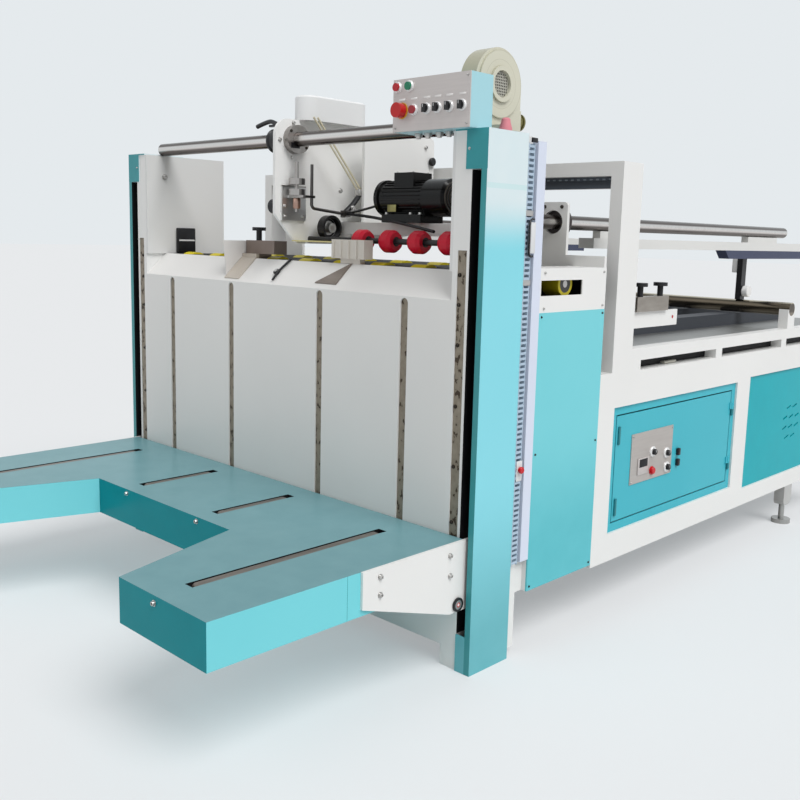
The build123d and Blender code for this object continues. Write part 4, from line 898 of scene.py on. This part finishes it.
def cut_sheet(name, outline, direction, thickness, material, body="machine"):
    """A sheet cut to an outline of corners in millimetres, then given its thickness."""
    bpy.ops.object.select_all(action="DESELECT")
    bpy.ops.mesh.primitive_circle_add(vertices=len(outline), fill_type="NGON")
    piece = bpy.context.object
    for corner, point in zip(piece.data.vertices, outline):
        corner.co = place(*point)
    bpy.ops.object.mode_set(mode="EDIT")
    bpy.ops.mesh.select_all(action="SELECT")
    through = Vector(direction) * thickness / 1000
    bpy.ops.mesh.extrude_region_move(TRANSFORM_OT_translate={"value": through})
    bpy.ops.mesh.select_all(action="SELECT")
    bpy.ops.mesh.normals_make_consistent(inside=False)
    bpy.ops.object.mode_set(mode="OBJECT")
    return fix(piece, name, material, body)


cheek_white = powder_coat("cheek_white", "white_paint", (0.78, 0.76, 0.74), (0.72, 0.70, 0.68))
cheek_side = -283
cheek_corners = ((3, 1190), (148, 1190), (148, shelf_top), (84, shelf_top), (16, 1067))
cheek_outline = [(cheek_side, y, z) for y, z in cheek_corners]
cut_sheet("left_guide_cheek", cheek_outline, (-1, 0, 0), 2, cheek_white)


# Control box: teal sheet box on the right column with a brushed front, two lamps, an emergency
# stop, a button and four selector knobs in bright rings. Small bare legend plates stand above.
# Painted reflection: this teal is paler than the other teal for the bright reflection on the box's
# sides.
box_teal = powder_coat("box_teal", "teal_paint", (0.40, 0.67, 0.73), (0.33, 0.60, 0.67), coat=0.15)
finish_node("control_box", box_teal)
face_steel = machined(
    "face_steel", "brushed_face", (0.60, 0.56, 0.545), (0.52, 0.485, 0.47), (3, 60, 90), 0.45, 0.35
)
finish_node("control_face", face_steel)
devices = powder_coat("devices", "black_plastic", *black_tones, roughness=0.3, coat=0.3)
for low, high, colour, shade in (
    ((580, None, 1595), (622, None, None), (0.50, 0.01, 0.02), (0.38, 0.008, 0.015)),
    ((623, None, 1595), (665, None, None), (0.01, 0.20, 0.10), (0.008, 0.15, 0.07)),
    ((596, None, 1530), (638.5, None, 1590), (0.54, 0.010, 0.010), (0.42, 0.008, 0.008)),
    ((645, None, 1530), (680, None, 1590), (0.35, 0.02, 0.03), (0.27, 0.015, 0.02)),
):
    repaint(devices, inside_box(devices, low, high), colour, shade)
face_front, ring_front = -37, -41
for low in ((682, ring_front - 0.05, None), (None, ring_front - 0.05, 1595)):
    bright_ring = inside_box(devices, low, (None, None, None))
    repaint(devices, bright_ring, (0.75, 0.75, 0.74), (0.60, 0.60, 0.59), 0.9)
finish_node("control_devices", devices)
device_height, lamp_height = 1560, 1623
lamp_places, stop_place, button_place, selector_places = (600, 645), 617, 662, (710, 749, 791, 836)
ring_bright = machined(
    "ring_bright", "steel", (0.92, 0.92, 0.92), (0.74, 0.74, 0.74), (60, 60, 60), 0.25, 0.3
)
ring_rings = ((0, 11.3), (0, 15), (5, 15), (7, 13.6), (7, 11.3))
ring_places = [(x, lamp_height) for x in lamp_places]
ring_places += [(x, device_height) for x in (button_place, *selector_places)]
for number, (x, z) in enumerate(ring_places, 1):
    turned(f"device_ring_{number}", (x, face_front, z), to_front, ring_rings, ring_bright)
amber = powder_coat(
    "amber", "yellow_rubber", (0.75, 0.38, 0.02), (0.62, 0.30, 0.02), roughness=0.35
)
stop_rings = ((0, 22), (2.5, 22), (2.5, 15))
turned("stop_collar", (stop_place, face_front, device_height), to_front, stop_rings, amber)
dome_rings = ((0, 9.5), (3, 9.5), (4, 8))
for number, x in enumerate(selector_places, 1):
    centre = (x, ring_front, device_height)
    turned(f"selector_dome_{number}", centre, to_front, dome_rings, black_moulding)
    low, high = (x - 0.8, -55.6, device_height + 2), (x + 0.8, -54.4, device_height + 10)
    block(f"selector_mark_{number}", low, high, 0.3, window_pale)
legend = machined("legend", "steel", (0.70, 0.67, 0.65), (0.60, 0.57, 0.55), (20, 20, 20), 0.35)
for number, x in enumerate((stop_place, button_place, *selector_places), 1):
    low, high = (x - 12, face_front - 0.8, 1586), (x + 12, face_front + 0.4, 1592)
    block(f"legend_plate_{number}", low, high, 0.3, legend)
corner_places = [(x, face_front, z) for x in (592, 851) for z in (1514, 1634)]
screws("face_screw", corner_places, to_front, 3.5, zinc)
gland_rings = ((0, 11), (8, 11), (8, 8), (14, 7))
for number, x in enumerate((628, 664, 706, 742), 1):
    turned(f"cable_gland_{number}", (x, 20, 1503.5), (0, 0, -1), gland_rings, zinc)


# Blower: cream cast spiral housing with a darker rim and a raised cover, its steps marked by thin
# darker rings of painted shade. Crossed bars close the inlet over a black disc of painted shade for
# the dark inside, and a bare metal stub leaves the outlet. A pink rubber buffer stands beside it.
blower_cream = powder_coat(
    "blower_cream", "cream_paint", (0.63, 0.62, 0.51), (0.58, 0.57, 0.46),
    roughness=0.32, coat=0.15,
)
rim = inside_box(blower_cream, (None, None, None), (795.6, None, None))
repaint(blower_cream, rim, (0.44, 0.43, 0.33), (0.36, 0.35, 0.25))
inlet_y, inlet_z = 160, 1640
# Painted shade: thin darker rings at the steps of the raised cover.
for most, least in ((90.2, 88.4), (66, 64.8), (49, 47.8)):
    step = inside_ring(blower_cream, (0, inlet_y, inlet_z), "X", most, least)
    repaint(blower_cream, step, (0.50, 0.49, 0.38), (0.46, 0.45, 0.35))
finish_node("blower", blower_cream)
mesh_grey = machined(
    "mesh_grey", "steel", (0.50, 0.49, 0.43), (0.42, 0.41, 0.36), (20, 20, 20), 0.4, 0.3
)
# Painted shade: a black disc behind the inlet bars for the dark inside.
shade_disc_rings = ((0, 35.5), (0.8, 35.5), (1.2, 34))
turned("inlet_shade_disc", (794.2, inlet_y, inlet_z), to_right, shade_disc_rings, black_moulding)
mesh_radius, mesh_pitch, half_bar, mesh_edge = 35, 7.6, 1.6, 0.5
for row in range(-4, 5):
    y, z = inlet_y + row * mesh_pitch, inlet_z + row * mesh_pitch
    reach = math.sqrt(mesh_radius ** 2 - (row * mesh_pitch) ** 2)
    low, high = (797, inlet_y - reach, z - half_bar), (799, inlet_y + reach, z + half_bar)
    block(f"inlet_bar_{row + 5}", low, high, mesh_edge, mesh_grey, steps=1)
    low, high = (797.4, y - half_bar, inlet_z - reach), (799.4, y + half_bar, inlet_z + reach)
    block(f"inlet_rib_{row + 5}", low, high, mesh_edge, mesh_grey, steps=1)
stub_rings = ((0, 26), (4, 26), (4, 22), (20, 22), (20, 25), (26, 25), (26, 17), (10, 16))
turned("outlet_stub", (769, 262, 1551), (0, 1, 0), stub_rings, bare_plate)
pink_rubber = powder_coat(
    "pink_rubber", "red_rubber", (0.72, 0.26, 0.30), (0.62, 0.20, 0.24), roughness=0.5, coat=0.0
)
buffer_rings = ((0, 18), (10, 18), (26, 13), (34, 12), (38, 8))
turned("rubber_foot", (857, 118, 1504.2), upward, buffer_rings, pink_rubber)


# Body frames: white welded frames with long slots over teal bays, and the bed plate between them.
# Black sheets inside the slots and behind the vents are painted shade for the dark within them.
rail_white = powder_coat("rail_white", "white_paint", *white_tones)
for name in ("side_frames", "frame_blocks", "bearing_plates"):
    finish_node(name, rail_white)
beam_white = powder_coat("beam_white", "white_paint", (0.72, 0.72, 0.70), (0.64, 0.64, 0.62))
finish_node("fold_beams", beam_white)
plate_steel = machined(
    "plate_steel", "steel", (0.40, 0.40, 0.39), (0.26, 0.26, 0.25), (6, 50, 50), 0.4
)
finish_node("bed_plate", plate_steel)
black_sheet_and_shade = powder_coat(
    "black_sheet_and_shade", "black_plastic", *black_tones, roughness=0.6, peel=0.3, coat=0.0
)
# Painted shade: black sheets set in the slots and behind the vents.
for word, low_x, high_x in (("right", 851.5, 855.5), ("left", -855.5, -851.5)):
    block(f"{word}_slot_shade_sheet", (low_x, 812, 797), (high_x, 2562, 841), 1, black_sheet_and_shade)
block("vent_shade_sheet", (881.5, 1700, 255), (884.5, 2568, 690), 1, black_sheet_and_shade)
block("slot_latch", (857, 1036, 803), (875, 1118, 812), 2, mesh_grey)


# Cabinet door: a teal sheet door on dark teal hinges in a teal surround. Its brushed plate carries
# a display, three knobs in bright rings and a red button. Two slim latches and two small black
# handles close it.
surround_teal = powder_coat(
    "surround_teal", "teal_paint", (0.06, 0.47, 0.56), (0.045, 0.42, 0.51), coat=0.05, gloss=0.14
)
finish_node("door_surround", surround_teal)
door_teal = powder_coat(
    "door_teal", "teal_paint", (0.065, 0.47, 0.56), (0.05, 0.42, 0.51), coat=0.05, gloss=0.14
)
finish_node("cabinet_door", door_teal)
door_steel = machined(
    "door_steel", "brushed_face", (0.50, 0.47, 0.445), (0.42, 0.39, 0.37), (60, 3, 60), 0.45, 0.35
)
finish_node("door_plate", door_steel)
hinge_teal = powder_coat(
    "hinge_teal", "steel", (0.02, 0.20, 0.23), (0.012, 0.16, 0.19), gloss=0.14
)
finish_node("door_hinges", hinge_teal)
inner_grey = powder_coat("inner_grey", "grey_paint", (0.36, 0.37, 0.37), (0.28, 0.29, 0.29))
finish_node("cabinet_box", inner_grey)
door_face, plate_face = 892, 895
for number, (low_z, high_z) in enumerate(((561, 622), (319, 378)), 1):
    low, high = (door_face, 725, low_z), (door_face + 5, 737, high_z)
    block(f"door_latch_{number}", low, high, 1.5, hinge_teal, "door")
display_face = plate_face + 4
low, high = (plate_face, 858, 436), (display_face, 926, 494)
block("door_display_frame", low, high, 1.5, face_steel, "door")
low, high = (display_face, 866, 462), (display_face + 0.8, 918, 490)
block("door_display", low, high, 0.3, black_sheet_and_shade, "door")
button_rings = ((0, 15), (3, 15), (3, 12), (9, 12), (11, 10))
turned("door_button", (plate_face, 955, 439), to_right, button_rings, red_gloss, "door")
knob_rings = ((0, 15), (3, 15), (3, 11), (14, 10), (16, 8))
bezel_rings = ((0, 15.2), (0, 18.5), (4, 18.5), (5.5, 17), (5.5, 15.2))
for number, (y, z) in enumerate(((954, 506), (1051, 488), (1057, 436)), 1):
    centre = (plate_face, y, z)
    turned(f"door_knob_{number}", centre, to_right, knob_rings, black_moulding, "door")
    turned(f"door_knob_ring_{number}", centre, to_right, bezel_rings, ring_bright, "door")
    low, high = (910.8, y - 0.8, z - 1), (911.6, y + 0.8, z + 8)
    block(f"door_knob_mark_{number}", low, high, 0.2, window_pale, "door")
for number, z in enumerate((479, 440), 1):
    low, high = (door_face, 1128, z - 13), (door_face + 12, 1144, z + 13)
    block(f"door_handle_{number}", low, high, 3, black_moulding, "door")
corner_places = [(plate_face, y, z) for y in (822, 1084) for z in (417, 575)]
screws("door_plate_screw", corner_places, to_right, 4, zinc, "door")


# Conveyor belts: woven rubber belts round rollers on the bed, nearly black, and the narrow bluish
# folding belts under the beams.
belt_rubber = powder_coat(
    "belt_rubber", "dark_belt", (0.030, 0.034, 0.042), (0.050, 0.055, 0.066), roughness=0.55,
    peel=0.5, grain=380.0, coat=0.0,
)
upper_belts = inside_box(belt_rubber, (None, None, 1100), (None, None, None))
repaint(belt_rubber, upper_belts, (0.045, 0.055, 0.10), (0.065, 0.075, 0.13))
finish_node("conveyor_belts", belt_rubber)


# Portal: a white welded frame over the bed, with a dark slotted rail under its beam that carries
# the guides across.
portal_white = powder_coat("portal_white", "white_paint", *white_tones)
finish_node("portal", portal_white)
rail_blue = powder_coat(
    "rail_blue", "black_paint", (0.055, 0.07, 0.09), (0.085, 0.10, 0.125), roughness=0.35
)
rail_tree = rail_blue.node_tree
half_pitch, half_bridge = 0.012, 0.0065
slot_phase = worked_out(rail_tree, "PINGPONG", axes(rail_tree)["X"], half_pitch)
slot_row = worked_out(rail_tree, "GREATER_THAN", slot_phase, half_bridge)
rail_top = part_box("portal_rail")[1].z * 1000
slot_band = inside_box(rail_blue, (None, None, rail_top - 10), (None, None, rail_top - 5))
slots = worked_out(rail_tree, "MULTIPLY", slot_row, slot_band)
repaint(rail_blue, slots, (0.26, 0.30, 0.34), (0.20, 0.23, 0.27))
finish_node("portal_rail", rail_blue)


# Folding gear: black flanges round the long tubes, black posts under the beams with white pressure
# rollers, and steel blocks with a small red cap on the near rail.
bearing_black = powder_coat("bearing_black", "black_paint", *black_tones, roughness=0.35, coat=0.2)
sleeve = inside_ring(bearing_black, (700, 0, long_tube_height), "Y", 53)
repaint(bearing_black, sleeve, (0.035, 0.03, 0.03), (0.06, 0.05, 0.05))
finish_node("tube_bearings", bearing_black)
finish_node("beam_posts", powder_coat("post_black", "black_paint", *black_tones))
block_steel = machined(
    "block_steel", "steel", (0.45, 0.42, 0.38), (0.25, 0.22, 0.19), (20, 6, 20), 0.35
)
finish_node("rail_blocks", block_steel)
bearing_bolts = [(x, 575, 1325) for x in (733, 667, -567, -633)]
screws("bearing_plate_bolt", bearing_bolts, to_front, 6, dark_zinc)
roller_white = powder_coat(
    "roller_white", "white_paint", (0.82, 0.82, 0.81), (0.76, 0.76, 0.75), roughness=0.3
)
roller_rings = ((0, 8), (2, 8), (2, 22), (4, 24), (26, 24), (28, 22), (28, 8))
for word, x in long_tube_places:
    start = (x - 20, 2040, 1021)
    turned(f"{word}_pressure_roller", start, to_right, roller_rings, roller_white)
    block(f"{word}_roller_arm", (x - 72, 2024, 1100), (x - 47, 2056, 1160), 4, roller_white)
turned("rail_red_cap", (856, 1103, 964), (-1, 0, 0), ((0, 6), (4, 6), (5, 4)), red_gloss)


# Body feet: grey square blocks under the frame, each on a levelling screw with a round pad. The
# blocks are painted and the screws are bare steel.
foot_grey = powder_coat("foot_grey", "grey_paint", (0.50, 0.50, 0.49), (0.42, 0.42, 0.41))
bare_screw = inside_box(foot_grey, (None, None, None), (None, None, 84))
repaint(foot_grey, bare_screw, (0.45, 0.45, 0.44), (0.32, 0.32, 0.31), 0.8)
finish_node("body_feet", foot_grey)
